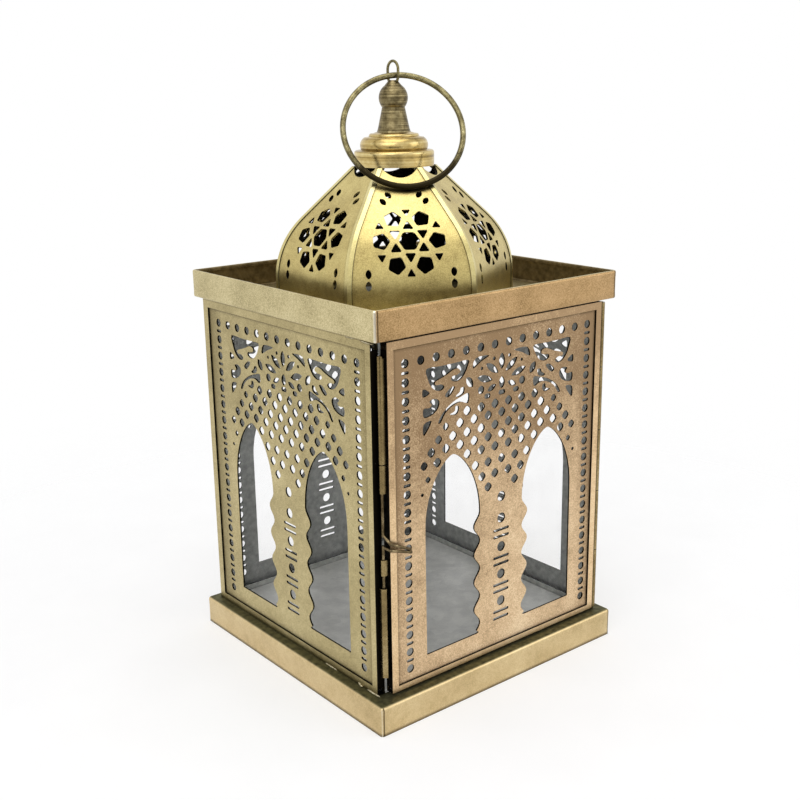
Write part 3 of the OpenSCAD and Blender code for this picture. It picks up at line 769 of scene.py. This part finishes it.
@dataclass(frozen=True)
class Solder:
    """Tin solder under the plate.

    The eye sees small lumps with a soft gloss, paler than the sheet.

    Attributes:
        name: The material's name.
        tones: Dark and light tone.
        mottle: The patches of tone and gloss.
        rough: Lowest and highest roughness.
        lumps: The fine lumps of its skin.
    """

    name: str
    tones: tuple[str, str]
    mottle: Pattern = Pattern(0.9, detail=3.0)
    rough: Span = (0.3, 0.5)
    lumps: Pattern = Pattern(0.5, share=0.06)

    def build(self) -> bpy.types.Material:
        """Builds the material.

        Returns:
            The material.
        """
        g = Surface(self.name)
        mottle = g.noise(self.mottle)
        low, high = self.rough
        return g.finish(
            {
                "Base Color": g.add("ValToRGB", mottle, stops=zip(PAIR, self.tones)),
                "Metallic": 1.0,
                "Roughness": g.add("Math", mottle, high - low, low, operation="MULTIPLY_ADD"),
                "Normal": g.relief((g.noise(self.lumps), self.lumps.share)),
            }
        )


class Finishes:
    """Every finish of the lantern, built once."""

    def __init__(self) -> None:
        """Builds the materials."""
        self._panels()
        self._pans()
        self._top()
        self._hardware()

    def _panels(self) -> None:
        """Builds the panels' finishes, a cool brass on three sides and a warm one on the door."""
        cool = ("8d7f57", "baab7d", "e0d2a4")
        warm = ("93795a", "d8bb94", "fde8c4")
        strip = ("a68a68", "e4c599", "fbe8c6")
        # Behind, the sheet is dull and grey, and its cut edges are nearly black
        inner, cut_edge = ("a2a39f", "c8c9c4"), "16130e"
        along_x, along_y = (
            Side(across, zone=(10.0, 30.0), inner=inner, edge=cut_edge)
            for across in ((1, 0, 0), (0, 1, 0))
        )
        self.frets: dict[Panel, bpy.types.Material] = {}
        self.frames: dict[Panel, bpy.types.Material] = {}
        # The fade darkens each panel towards the top as painted shade, most of all on the door
        for panel, fret, channel, side, change in (
            (Panel.LEFT, cool, cool, along_x, -0.08),
            (Panel.RIGHT, cool, cool, along_x, -0.08),
            (Panel.BACK, cool, cool, along_y, -0.08),
            (Panel.DOOR, warm, strip, along_y, -0.42),
        ):
            self.frets[panel] = PlatedSheet(
                f"brass_fretwork_{panel.value}", fret, side=side, edge_shade=0.36,
                cloud=Pattern(22.0, detail=4.0, share=0.7), grain=Pattern(0.42, share=0.95),
                wave=Pattern(11.0, detail=1.0, share=0.2), fade=Fade((35.0, 150.0), change),
            ).build()
            self.frames[panel] = PlatedSheet(
                f"brass_frame_{panel.value}", channel, side=side,
                cloud=Pattern(24.0, detail=4.0, share=0.7), grain=Pattern(0.42, share=0.8),
                wave=Pattern(11.0, detail=1.0, share=0.08), fade=Fade((60.0, 150.0), change),
            ).build()

    def _pans(self) -> None:
        """Builds the folded pans' finishes, the tray dark within and the base dark on top."""
        # The tray's faces that look along Y take a pinkish tint as painted light
        self.tray = PlatedSheet(
            "brass_tray", ("93865e", "c6b88b", "e2d5aa"), turned="e4cabc",
            grain=Pattern(0.42, share=1.35), corners=Corners(61.0, painted_light=(61.4, 61.9)),
            side=Side((1, 1, 0), zone=(-30.0, -10.0), inner=("54482f", "7d6e50")),
        ).build()
        # The base's top is painted dark olive, partly as dirt and partly as a painted reflection
        # of the dark panels
        self.base = PlatedSheet(
            "brass_base", ("a68f60", "d0b98b", "e8d5a8"), rough=(0.26, 0.4),
            grain=Pattern(0.42, share=0.7), corners=Corners(62.9, painted_light=(63.3, 63.8)),
            side=Side((0, 0, 1), zone=(11.6, 6.5), inner=("45432f", "6e6a4a")),
        ).build()

    def _top(self) -> None:
        """Builds the dome's finish, painted black within as shade, and those over it."""
        # The dome's and ribs' inner faces are painted near black as painted shade
        within = Side((1, 1, 0), zone=(0.0, 4.0), inner=("0c0b09", "1c1913"))
        self.dome = PlatedSheet(
            "brass_dome", ("887548", "c4b274", "e4d594"), rough=(0.29, 0.43), side=within,
            grain=Pattern(0.42, share=0.8), wave=Pattern(11.0, detail=1.0, share=0.35),
        ).build()
        self.ribs = PlatedSheet(
            "brass_ribs", ("a0925a", "d3c589", "efe6b2"), rough=(0.26, 0.4), side=within,
            wave=Pattern(11.0, detail=1.0, share=0.12),
        ).build()
        self.collar = TurnedBrass(
            "spun_brass_collar", ("6f5c30", "bda467", "f0dfa6"), rough=(0.2, 0.3), depth=0.01,
            line=Pattern(1.4, share=0.85, stretch=(60.0, 60.0, 1.0)),
            patch=Pattern(1.6, detail=4.0, share=0.25),
        ).build()
        self.finial = TurnedBrass("turned_finial", ("362e1e", "776a4a", "b3a57c")).build()
        # The ring is painted darker below as painted shade
        self.ring = DrawnWire(
            "ring_wire", ("2b2517", "786f4d", "c4ba8c"), rough=(0.3, 0.45),
            painted_light=Fade((200.0, 214.0), 0.32),
        ).build()

    def _hardware(self) -> None:
        """Builds the finishes of the latch, the hinge, the floor plate, the glass and solder."""
        self.wire = DrawnWire(
            "latch_wire", ("211b12", "63553c", "bfad86"), rough=(0.2, 0.32)
        ).build()
        self.tube = PlatedSheet(
            "darkened_brass_tube", ("3a2f1e", "8a7750", "d2bf90"), rough=(0.2, 0.34),
            wave=Pattern(11.0, detail=1.0, share=0.02),
        ).build()
        self.zinc = GalvanisedSheet("galvanised_floor", ("d0d0cd", "eaeae6")).build()
        self.glass = WindowGlass("window_glass", "f2f5f5", veil=0.012, dust=0.025).build()
        self.solder = Solder("plated_solder", ("8a7c58", "e0d8bc")).build()


# ---------------------------------------------------------------- mesh helpers


@dataclass(frozen=True)
class Buckle:
    """The slow unevenness of a wall that was bent by hand.

    Attributes:
        heights: Where it starts and stops.
        depth: How far it pulls the wall in at most.
        size: Distance between its hollows.
    """

    heights: Span
    depth: float
    size: float


def dress(node: str, material: bpy.types.Material, edge: float = 0.0) -> None:
    """Gives a CAD node its material and softens its edges.

    Args:
        node: The CAD node's name.
        material: The finish.
        edge: Width of the rounded edges, or 0 to leave them sharp.
    """
    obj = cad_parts[node]
    obj.data.materials.clear()
    obj.data.materials.append(material)
    if edge:
        bevel = obj.modifiers.new("edges", "BEVEL")
        bevel.width = edge * MM
        bevel.segments = EDGE_ROWS
        bevel.limit_method = "ANGLE"
        bevel.angle_limit = math.radians(EDGE_DEG)
        bevel.harden_normals = True
    LOG.info("dressed %s with %s", node, material.name)


def add_piece(
    name: str,
    mesh: bmesh.types.BMesh,
    material: bpy.types.Material,
    body: Body,
    smooth_deg: float = 40.0,
) -> bpy.types.Object:
    """Turns a mesh in millimetres into a piece that rides on a body.

    Args:
        name: The piece's name.
        mesh: The mesh, which is freed.
        material: The finish.
        body: The body that it rides on.
        smooth_deg: Largest angle between faces that are shaded as one.

    Returns:
        The new object.
    """
    bmesh.ops.recalc_face_normals(mesh, faces=mesh.faces)
    bmesh.ops.scale(mesh, vec=(MM, MM, MM), verts=mesh.verts)
    data = bpy.data.meshes.new(name)
    mesh.to_mesh(data)
    mesh.free()
    data.materials.append(material)
    data.shade_smooth()
    data.set_sharp_from_angle(angle=math.radians(smooth_deg))
    obj = bpy.data.objects.new(name, data)
    bpy.context.scene.collection.objects.link(obj)
    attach(obj, body.value)
    LOG.info("made %s with %d faces", name, len(data.polygons))
    return obj


def square_loop(
    half: float, corner: float, per_side: int = 24, per_corner: int = 6
) -> list[Vector]:
    """Gives the points of a square with rounded corners, counter-clockwise.

    Args:
        half: Half the square's width.
        corner: Radius of its corners.
        per_side: Points along each straight side.
        per_corner: Points round each corner.

    Returns:
        Points at height 0.
    """
    points = []
    straight = half - corner
    for k in range(4):
        turn = Matrix.Rotation(math.pi / 2 * k, 3, "Z")
        for i in range(per_side):
            points.append(turn @ Vector((half, straight * (2 * i / per_side - 1), 0)))
        for i in range(per_corner):
            a = math.pi / 2 * i / per_corner
            arc = Vector((math.cos(a), math.sin(a), 0)) * corner
            points.append(turn @ (Vector((straight, straight, 0)) + arc))
    return points


def bridge(mesh: bmesh.types.BMesh, loops: Sequence[Sequence[Vector]], closed: bool) -> None:
    """Joins rows of points with faces.

    Args:
        mesh: The mesh to add to.
        loops: Closed rows of points, all of one length.
        closed: Whether the last row joins the first. If not, both are filled.
    """
    rows = [[mesh.verts.new(p) for p in loop] for loop in loops]
    pairs = list(zip(rows, rows[1:]))
    if closed:
        pairs.append((rows[-1], rows[0]))
    else:
        mesh.faces.new(list(reversed(rows[0])))
        mesh.faces.new(rows[-1])
    for low, high in pairs:
        count = len(low)
        for i in range(count):
            j = (i + 1) % count
            mesh.faces.new((low[i], low[j], high[j], high[i]))


def uneven(point: Vector, depth: float, size: float) -> Vector:
    """Pulls a point towards the axis, as the wall of hand-bent sheet is.

    Args:
        point: The point.
        depth: How far it is pulled at most.
        size: Distance between the hollows.

    Returns:
        The moved point.
    """
    pull = (noise.noise(point / size) + 1) / 2 * depth
    flat = Vector((point.x, point.y, 0))
    return point - flat.normalized() * pull if flat.length > 1 else point


def pan_rows(
    profile: Iterable[Span], half: float, corner: float, least: float, buckle: Buckle
) -> list[list[Vector]]:
    """Carries a profile round a square pan.

    Args:
        profile: Insets from the pan's outside, each with its height.
        half: Half the pan's width.
        corner: Radius of its outer corners.
        least: Smallest radius of its inner corners.
        buckle: Unevenness of its outer wall.

    Returns:
        One closed row of points for each place on the profile.
    """
    rows = []
    low, high = buckle.heights
    for inset, z in profile:
        side = half - inset
        radius = min(max(corner - inset, least), side / 2)
        depth = buckle.depth if inset == 0 and low < z < high else 0.0
        lift = Vector((0, 0, z))
        rows.append([uneven(p + lift, depth, buckle.size) for p in square_loop(side, radius)])
    return rows


# ---------------------------------------------------------------- sub-assemblies


@dataclass(frozen=True)
class BasePan:
    """The folded pan that the lantern stands on, open below, and the loose plate on it.

    Attributes:
        half: Half its width.
        height: Its height.
        sheet: Its sheet thickness.
        fold: Radius of the fold along its upper edge.
        fold_steps: Rows of faces round that fold.
        corner: Radius of its upright corners.
        least: Smallest radius of their inner side.
        wall: Heights of the rows of points below the fold.
        top: Insets of the rows of points on the top.
        buckle: Unevenness of the wall, which stops at the fold.
        plate_edge: Width of the floor plate's rounded edges.
    """

    half: float = 64.0
    height: float = 12.0
    sheet: float = 0.9
    fold: float = 1.4
    fold_steps: int = 6
    corner: float = 1.2
    least: float = 0.35
    wall: tuple[float, ...] = (0.0, 2.0, 5.0, 8.0)
    top: tuple[float, ...] = (4.0, 9.0, 20.0, 62.0)
    buckle: Buckle = Buckle((0.5, 10.6), depth=0.16, size=17.0)
    plate_edge: float = 0.15

    def build(self, finishes: Finishes) -> None:
        """Makes the pan in place of its CAD node and dresses the plate.

        Args:
            finishes: The lantern's finishes.
        """
        outer = [(0.0, z) for z in self.wall]
        for i in range(self.fold_steps + 1):
            a = math.pi / 2 * i / self.fold_steps
            rise = self.height - self.fold + self.fold * math.sin(a)
            outer.append((self.fold * (1 - math.cos(a)), rise))
        outer += [(inset, self.height) for inset in self.top]
        under = self.height - self.sheet
        inner = [(self.sheet, z) for z in (0.0, self.wall[2], under)]
        inner += [(inset, under) for inset in self.top[1::2]]
        profile = outer[::-1] + inner
        mesh = bmesh.new()
        rows = pan_rows(profile, self.half, self.corner, self.least, self.buckle)
        bridge(mesh, rows, closed=False)
        piece = add_piece("base_pan_folded", mesh, finishes.base, Body.LANTERN)
        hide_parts("base_pan")
        dress("floor_plate", finishes.zinc, self.plate_edge)


@dataclass(frozen=True)
class FramedPanels:
    """The three fixed panels and the door: channels, fretwork and glass.

    Attributes:
        edge: Width of the rounded edges of the channels.
        glass_edge: Width of the rounded edges of the panes.
    """

    edge: float = 0.22
    glass_edge: float = 0.1

    def build(self, finishes: Finishes) -> None:
        """Dresses the panels' CAD nodes.

        Args:
            finishes: The lantern's finishes.
        """
        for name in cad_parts:
            side = name.split("_")[0]
            if name.endswith("_glass"):
                dress(name, finishes.glass, self.glass_edge)
            elif name.endswith("_fretwork"):
                dress(name, finishes.frets[Panel(side)])
            elif name.endswith(("_rail", "_stile")):
                dress(name, finishes.frames[Panel(side)], self.edge)


@dataclass(frozen=True)
class DoorHardware:
    """The hinge, the latch and its guides.

    Attributes:
        edge: Width of the rounded edges of the rolled tubes and the pin.
    """

    edge: float = 0.12

    def build(self, finishes: Finishes) -> None:
        """Dresses the hardware's CAD nodes.

        Args:
            finishes: The lantern's finishes.
        """
        for name in (
            "hinge_body_knuckles", "hinge_door_knuckles",
            "latch_top_guide", "latch_middle_guide", "latch_low_guide", "latch_socket",
        ):
            dress(name, finishes.tube, self.edge)
        dress("hinge_pin", finishes.wire, self.edge)
        dress("latch_bolt", finishes.wire)


@dataclass(frozen=True)
class GalleryTray:
    """The square tray on the body, with a rolled rim and a smoke vent.

    Attributes:
        half: Half its outside width.
        low: Height of its underside.
        high: Height of its rim.
        sheet: Its sheet thickness.
        lip: Inset of the flat underside's outer row of points.
        fold: Radius of the fold along its lower edge.
        fold_steps: Rows of faces round that fold.
        wall: Heights of the rows of points on its outer wall.
        rim: Width of the rolled rim.
        rim_steps: Rows of faces over the rim.
        rim_foot: Heights of the rim's inner foot and of the wall beside it.
        bend: Radius of the bend between the wall and the floor, inside.
        corner: Radius of its upright corners.
        least: Smallest radius of their inner side.
        buckle: Unevenness of the wall.
        vent: Radius of the smoke vent.
        vent_corner: Corner radius of the square whose points are carried in to the vent.
    """

    half: float = 62.5
    low: float = 150.5
    high: float = 161.9
    sheet: float = 0.8
    lip: float = 1.6
    fold: float = 0.7
    fold_steps: int = 4
    wall: tuple[float, ...] = (153.5, 156.0, 158.5, 160.9)
    rim: float = 1.5
    rim_steps: int = 6
    rim_foot: Span = (160.4, 160.25)
    bend: float = 0.6
    corner: float = 1.5
    least: float = 0.3
    buckle: Buckle = Buckle((152.0, 160.0), depth=0.14, size=15.0)
    vent: float = 30.0
    vent_corner: float = 0.8

    def build(self, finishes: Finishes) -> None:
        """Makes the tray in place of its CAD node.

        Args:
            finishes: The lantern's finishes.
        """
        floor = self.low + self.sheet
        rows = pan_rows(self._profile(floor), self.half, self.corner, self.least, self.buckle)
        square = square_loop(self.half, self.vent_corner)
        vent = [Vector((p.x, p.y, 0)).normalized() * self.vent for p in square]
        rows += [[p + Vector((0, 0, z)) for p in vent] for z in (floor, self.low)]
        mesh = bmesh.new()
        bridge(mesh, rows, closed=True)
        piece = add_piece("tray_rolled", mesh, finishes.tray, Body.LANTERN)
        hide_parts("tray")

    def _profile(self, floor: float) -> list[Span]:
        """Draws the tray's section, from its underside over the rim to its floor.

        Args:
            floor: Height of the floor's upper side.

        Returns:
            Insets from the outside, each with its height.
        """
        profile = [(self.lip, self.low), (self.fold, self.low)]
        for i in range(1, self.fold_steps + 1):
            a = math.pi / 2 * i / self.fold_steps
            rise = self.low + self.fold * (1 - math.cos(a))
            profile.append((self.fold * (1 - math.sin(a)), rise))
        profile += [(0.0, z) for z in self.wall]
        roll = self.rim / 2
        for i in range(self.rim_steps + 1):
            a = math.pi * i / self.rim_steps
            profile.append((roll * (1 - math.cos(a)), self.high - roll + roll * math.sin(a)))
        profile += [(self.rim, self.rim_foot[0]), (self.sheet, self.rim_foot[1])]
        profile += [(self.sheet, self.wall[1]), (self.sheet, floor + self.bend)]
        return profile + [(self.sheet + self.bend, floor)]


@dataclass(frozen=True)
class PiercedDome:
    """The six gores, their seams and the spun collar.

    Attributes:
        edge: Width of the rounded edges of the seams.
        collar_edge: Width of the rounded edges of the collar.
    """

    edge: float = 0.3
    collar_edge: float = 0.15

    def build(self, finishes: Finishes) -> None:
        """Dresses the dome's CAD nodes.

        Args:
            finishes: The lantern's finishes.
        """
        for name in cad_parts:
            if name.startswith("dome_gore"):
                dress(name, finishes.dome)
        dress("dome_ribs", finishes.ribs, self.edge)
        dress("collar", finishes.collar, self.collar_edge)


@dataclass(frozen=True)
class FinialAndRing:
    """The turned finial, its eye and the carrying ring.

    Attributes:
        edge: Width of the finial's rounded edges.
    """

    edge: float = 0.2

    def build(self, finishes: Finishes) -> None:
        """Dresses the top pieces' CAD nodes.

        Args:
            finishes: The lantern's finishes.
        """
        dress("finial", finishes.finial, self.edge)
        dress("eye", finishes.ring)
        dress("ring", finishes.ring)


@dataclass(frozen=True)
class Bead:
    """One bead of solder, a lumpy bar with tapered ends.

    Attributes:
        name: The piece's name.
        start: One end.
        end: The other end.
        radius: Half its width.
        rows: Rows of faces along it.
        count: Faces round it.
        tip: Width of its ends, as a share of its middle.
        lump: How far the lumps change its width.
        fineness: Lumps per millimetre.
        spread: How much finer the lumps are round the bead than along it.
        smooth_deg: Largest angle between faces that are shaded as one.
    """

    name: str
    start: Point
    end: Point
    radius: float
    rows: int = 12
    count: int = 10
    tip: float = 0.1
    lump: float = 0.45
    fineness: float = 1.3
    spread: float = 2.0
    smooth_deg: float = 80.0

    def build(self, finishes: Finishes) -> None:
        """Makes the bead.

        Args:
            finishes: The lantern's finishes.
        """
        a, b = Vector(self.start), Vector(self.end)
        along = (b - a).normalized()
        side = along.orthogonal().normalized()
        over = along.cross(side)
        loops = []
        for i in range(self.rows + 1):
            t = i / self.rows
            middle = a.lerp(b, t)
            swell = max(math.sin(math.pi * t), 0.0) ** 0.5 * (1 - self.tip) + self.tip
            loop = []
            for k in range(self.count):
                turn = 2 * math.pi * k / self.count
                way = side * math.cos(turn) + over * math.sin(turn)
                spot = (middle + way * self.spread) * self.fineness
                lump = 1 + self.lump * noise.noise(spot)
                loop.append(middle + way * self.radius * swell * lump)
            loops.append(loop)
        mesh = bmesh.new()
        bridge(mesh, loops, closed=False)
        solder = finishes.solder
        add_piece(self.name, mesh, solder, Body.LANTERN, self.smooth_deg)


BEADS = (
    Bead("solder_base_front_left", (-59.4, -57.2, 12.35), (-59.6, -49.5, 12.3), 0.5),
    Bead("solder_base_left_blob", (-59.8, -46.8, 12.3), (-59.4, -43.6, 12.7), 0.55),
    Bead("solder_base_left_mid", (-59.6, -30.0, 12.2), (-59.6, -22.0, 12.2), 0.35),
    Bead("solder_base_front_right", (59.0, -57.6, 12.4), (59.6, -53.0, 12.3), 0.6),
    Bead("solder_base_back_left", (-58.5, 59.6, 12.3), (-49.0, 59.6, 12.3), 0.5),
    Bead("solder_base_back_right", (58.5, 59.6, 12.3), (50.0, 59.6, 12.3), 0.5),
    Bead("solder_tray_front_left", (-59.5, -57.6, 149.0), (-59.5, -50.0, 149.4), 0.32),
    Bead("solder_tray_left_blob", (-59.5, -47.0, 149.5), (-59.5, -41.0, 149.5), 0.28),
    Bead("solder_tray_back_left", (-57.0, 59.5, 149.2), (-46.0, 59.5, 149.4), 0.35),
    Bead("solder_dome_foot_right", (34.3, -20.2, 151.5), (39.9, -23.5, 151.6), 0.7),
    Bead("solder_dome_foot_front", (-8.1, -47.5, 151.5), (2.9, -47.7, 151.5), 0.6),
    Bead("solder_dome_foot_left", (-44.8, -24.1, 151.6), (-41.3, -25.9, 151.5), 0.7),
)


# ---------------------------------------------------------------- studio


@dataclass(frozen=True)
class Softbox:
    """One soft light.

    Attributes:
        name: The light's name.
        place_m: Where it stands.
        size_m: Its width and height.
        watts: Its power.
        tint: Its colour.
    """

    name: str
    place_m: Point
    size_m: Span
    watts: float
    tint: str = "ffffff"

    def build(self, aim_m: Vector) -> None:
        """Adds the light.

        Args:
            aim_m: The point that it faces.
        """
        lamp = bpy.data.lights.new(self.name, "AREA")
        lamp.shape = "RECTANGLE"
        lamp.size, lamp.size_y = self.size_m
        lamp.energy = self.watts
        lamp.color = linear(self.tint)[:3]
        obj = bpy.data.objects.new(self.name, lamp)
        bpy.context.scene.collection.objects.link(obj)
        obj.location = self.place_m
        obj.rotation_euler = (aim_m - Vector(self.place_m)).to_track_quat("-Z", "Y").to_euler()


@dataclass(frozen=True)
class Camera:
    """The camera, which looks down at the corner between the left panel and the door.

    Attributes:
        place_m: Where it stands.
        yaw: Turn from +Y towards +X, in radians.
        pitch: Upward tilt, in radians.
        roll: Roll, in radians.
        lens: Focal length for the sensor's width.
        sensor: Width of the sensor.
        clip_m: Distance nearer than which it sees nothing.
    """

    place_m: Point = (-0.291758, -0.358916, 0.235546)
    yaw: float = 0.6805
    pitch: float = -0.2729
    roll: float = -0.0153
    lens: float = 50.75
    sensor: float = 36.0
    clip_m: float = 0.01

    def build(self) -> None:
        """Adds the camera and makes it the scene's."""
        level = math.cos(self.pitch)
        ahead = Vector(
            (math.sin(self.yaw) * level, math.cos(self.yaw) * level, math.sin(self.pitch))
        )
        flat = ahead.cross(Vector((0, 0, 1))).normalized()
        rise = flat.cross(ahead)
        right = flat * math.cos(self.roll) + rise * math.sin(self.roll)
        up = rise * math.cos(self.roll) - flat * math.sin(self.roll)
        data = bpy.data.cameras.new("main_camera")
        data.sensor_width = self.sensor
        data.lens = self.lens
        data.clip_start = self.clip_m
        obj = bpy.data.objects.new("main_camera", data)
        bpy.context.scene.collection.objects.link(obj)
        turn = Matrix((right, up, -ahead)).transposed().to_4x4()
        obj.matrix_world = Matrix.Translation(self.place_m) @ turn
        bpy.context.scene.camera = obj


@dataclass(frozen=True)
class Studio:
    """Pale floor, white background, soft lights and a dark card that only gloss shows.

    Attributes:
        boxes: The lights.
        aim_m: The point that they face.
        glow: Strength of the light that the background throws on the object.
        glow_tint: Its colour.
        floor_m: Radius of the floor.
        floor_fade: Distances from the axis at which the floor has faded out and is whole.
        floor_glow: Light of its own that the floor shows to the camera, gloss and glass.
        floor_sides: Sides of the floor's outline.
        floor_tones: Dark and light tone of the floor.
        floor_cloud: The clouds of tone on it.
        card_m: Half width, height and distance of the dark card.
        card_deg: Direction of the card, counter-clockwise from +X.
        card_tones: Dark and light tone of the card.
        card_cloud: The clouds of tone on it.
        dull: Roughness of the floor and the card.
    """

    boxes: tuple[Softbox, ...] = (
        Softbox("key_left", (-0.9, -0.55, 0.85), (0.9, 0.7), 3.0),
        Softbox("fill_right", (0.75, -0.9, 0.5), (0.8, 0.8), 2.0),
        Softbox("top", (-0.1, -0.1, 1.2), (0.9, 0.9), 5.0),
    )
    aim_m: Point = (0.0, 0.0, 0.1)
    glow: float = 0.6
    glow_tint: str = "f4f4f6"
    floor_m: float = 0.45
    floor_fade: Span = (430.0, 110.0)
    floor_glow: float = 0.5
    floor_sides: int = 64
    floor_tones: tuple[str, str] = ("bcbcbc", "c0c0c0")
    floor_cloud: Pattern = Pattern(40.0)
    card_m: Point = (0.25, 0.17, 0.56)
    card_deg: float = -129.0
    card_tones: tuple[str, str] = ("6a6a6a", "767676")
    card_cloud: Pattern = Pattern(60.0)
    dull: float = 0.9

    def build(self) -> None:
        """Adds the world, the floor, the card and the lights."""
        self._world()
        self._floor()
        self._card()
        for box in self.boxes:
            box.build(Vector(self.aim_m))
        bpy.context.scene.view_settings.view_transform = "Standard"

    def _world(self) -> None:
        """Adds a white background, which throws a dimmer light on the object."""
        world = bpy.data.worlds.new("studio")
        g = Graph(world)
        lit = g.add("Background", linear(self.glow_tint), self.glow)
        seen = g.add("Background", (1, 1, 1, 1))
        g.add("OutputWorld", g.add("MixShader", g.plain_rays(), lit, seen))
        bpy.context.scene.world = world

    def _floor(self) -> None:
        """Adds the floor, a pale matt board that fades into the background."""
        g = Surface("pale_floor")
        away = g.add("VectorMath", g.place, out="Value", operation="LENGTH")
        tones = g.add("ValToRGB", g.noise(self.floor_cloud), stops=zip(PAIR, self.floor_tones))
        glow = g.add("Math", g.plain_rays(), self.floor_glow, operation="MULTIPLY")
        material = g.finish(
            {
                "Base Color": tones,
                "Roughness": self.dull,
                "Alpha": g.add("MapRange", away, *self.floor_fade, **SOFT),
                "Emission Color": (1, 1, 1, 1),
                "Emission Strength": glow,
            }
        )
        mesh = bmesh.new()
        outline = {"cap_ends": True, "segments": self.floor_sides, "radius": self.floor_m}
        bmesh.ops.create_circle(mesh, **outline)
        self._stand("floor", mesh, material)

    def _card(self) -> None:
        """Adds a dark matt card that only gloss shows, to give the metal contrast."""
        g = Surface("dark_card")
        tones = g.add("ValToRGB", g.noise(self.card_cloud), stops=zip(PAIR, self.card_tones))
        material = g.finish({"Base Color": tones, "Roughness": self.dull})
        wide, high, away = self.card_m
        turn = math.radians(self.card_deg)
        out = Vector((math.cos(turn), math.sin(turn), 0)) * away
        side = Vector((-math.sin(turn), math.cos(turn), 0)) * wide
        rise = Vector((0, 0, high))
        mesh = bmesh.new()
        corners = (out - side, out + side, out + side + rise, out - side + rise)
        mesh.faces.new([mesh.verts.new(p) for p in corners])
        card = self._stand("dark_card", mesh, material)
        card.visible_camera = card.visible_diffuse = card.visible_shadow = False
        card.visible_transmission = False

    @staticmethod
    def _stand(
        name: str, mesh: bmesh.types.BMesh, material: bpy.types.Material
    ) -> bpy.types.Object:
        """Adds a thing of the studio, which is no part of the object.

        Args:
            name: Its name.
            mesh: Its mesh in metres, which is freed.
            material: Its finish.

        Returns:
            The new object.
        """
        data = bpy.data.meshes.new(name)
        mesh.to_mesh(data)
        mesh.free()
        data.materials.append(material)
        obj = bpy.data.objects.new(name, data)
        bpy.context.scene.collection.objects.link(obj)
        return obj


def main() -> None:
    """Builds the whole scene."""
    logging.basicConfig(level=logging.INFO, format="%(name)s: %(message)s")
    Camera().build()
    finishes = Finishes()
    for part in (
        BasePan(), FramedPanels(), DoorHardware(), GalleryTray(), PiercedDome(), FinialAndRing(),
    ):
        part.build(finishes)
    for bead in BEADS:
        bead.build(finishes)
    Studio().build()


if __name__ == "__main__":
    main()
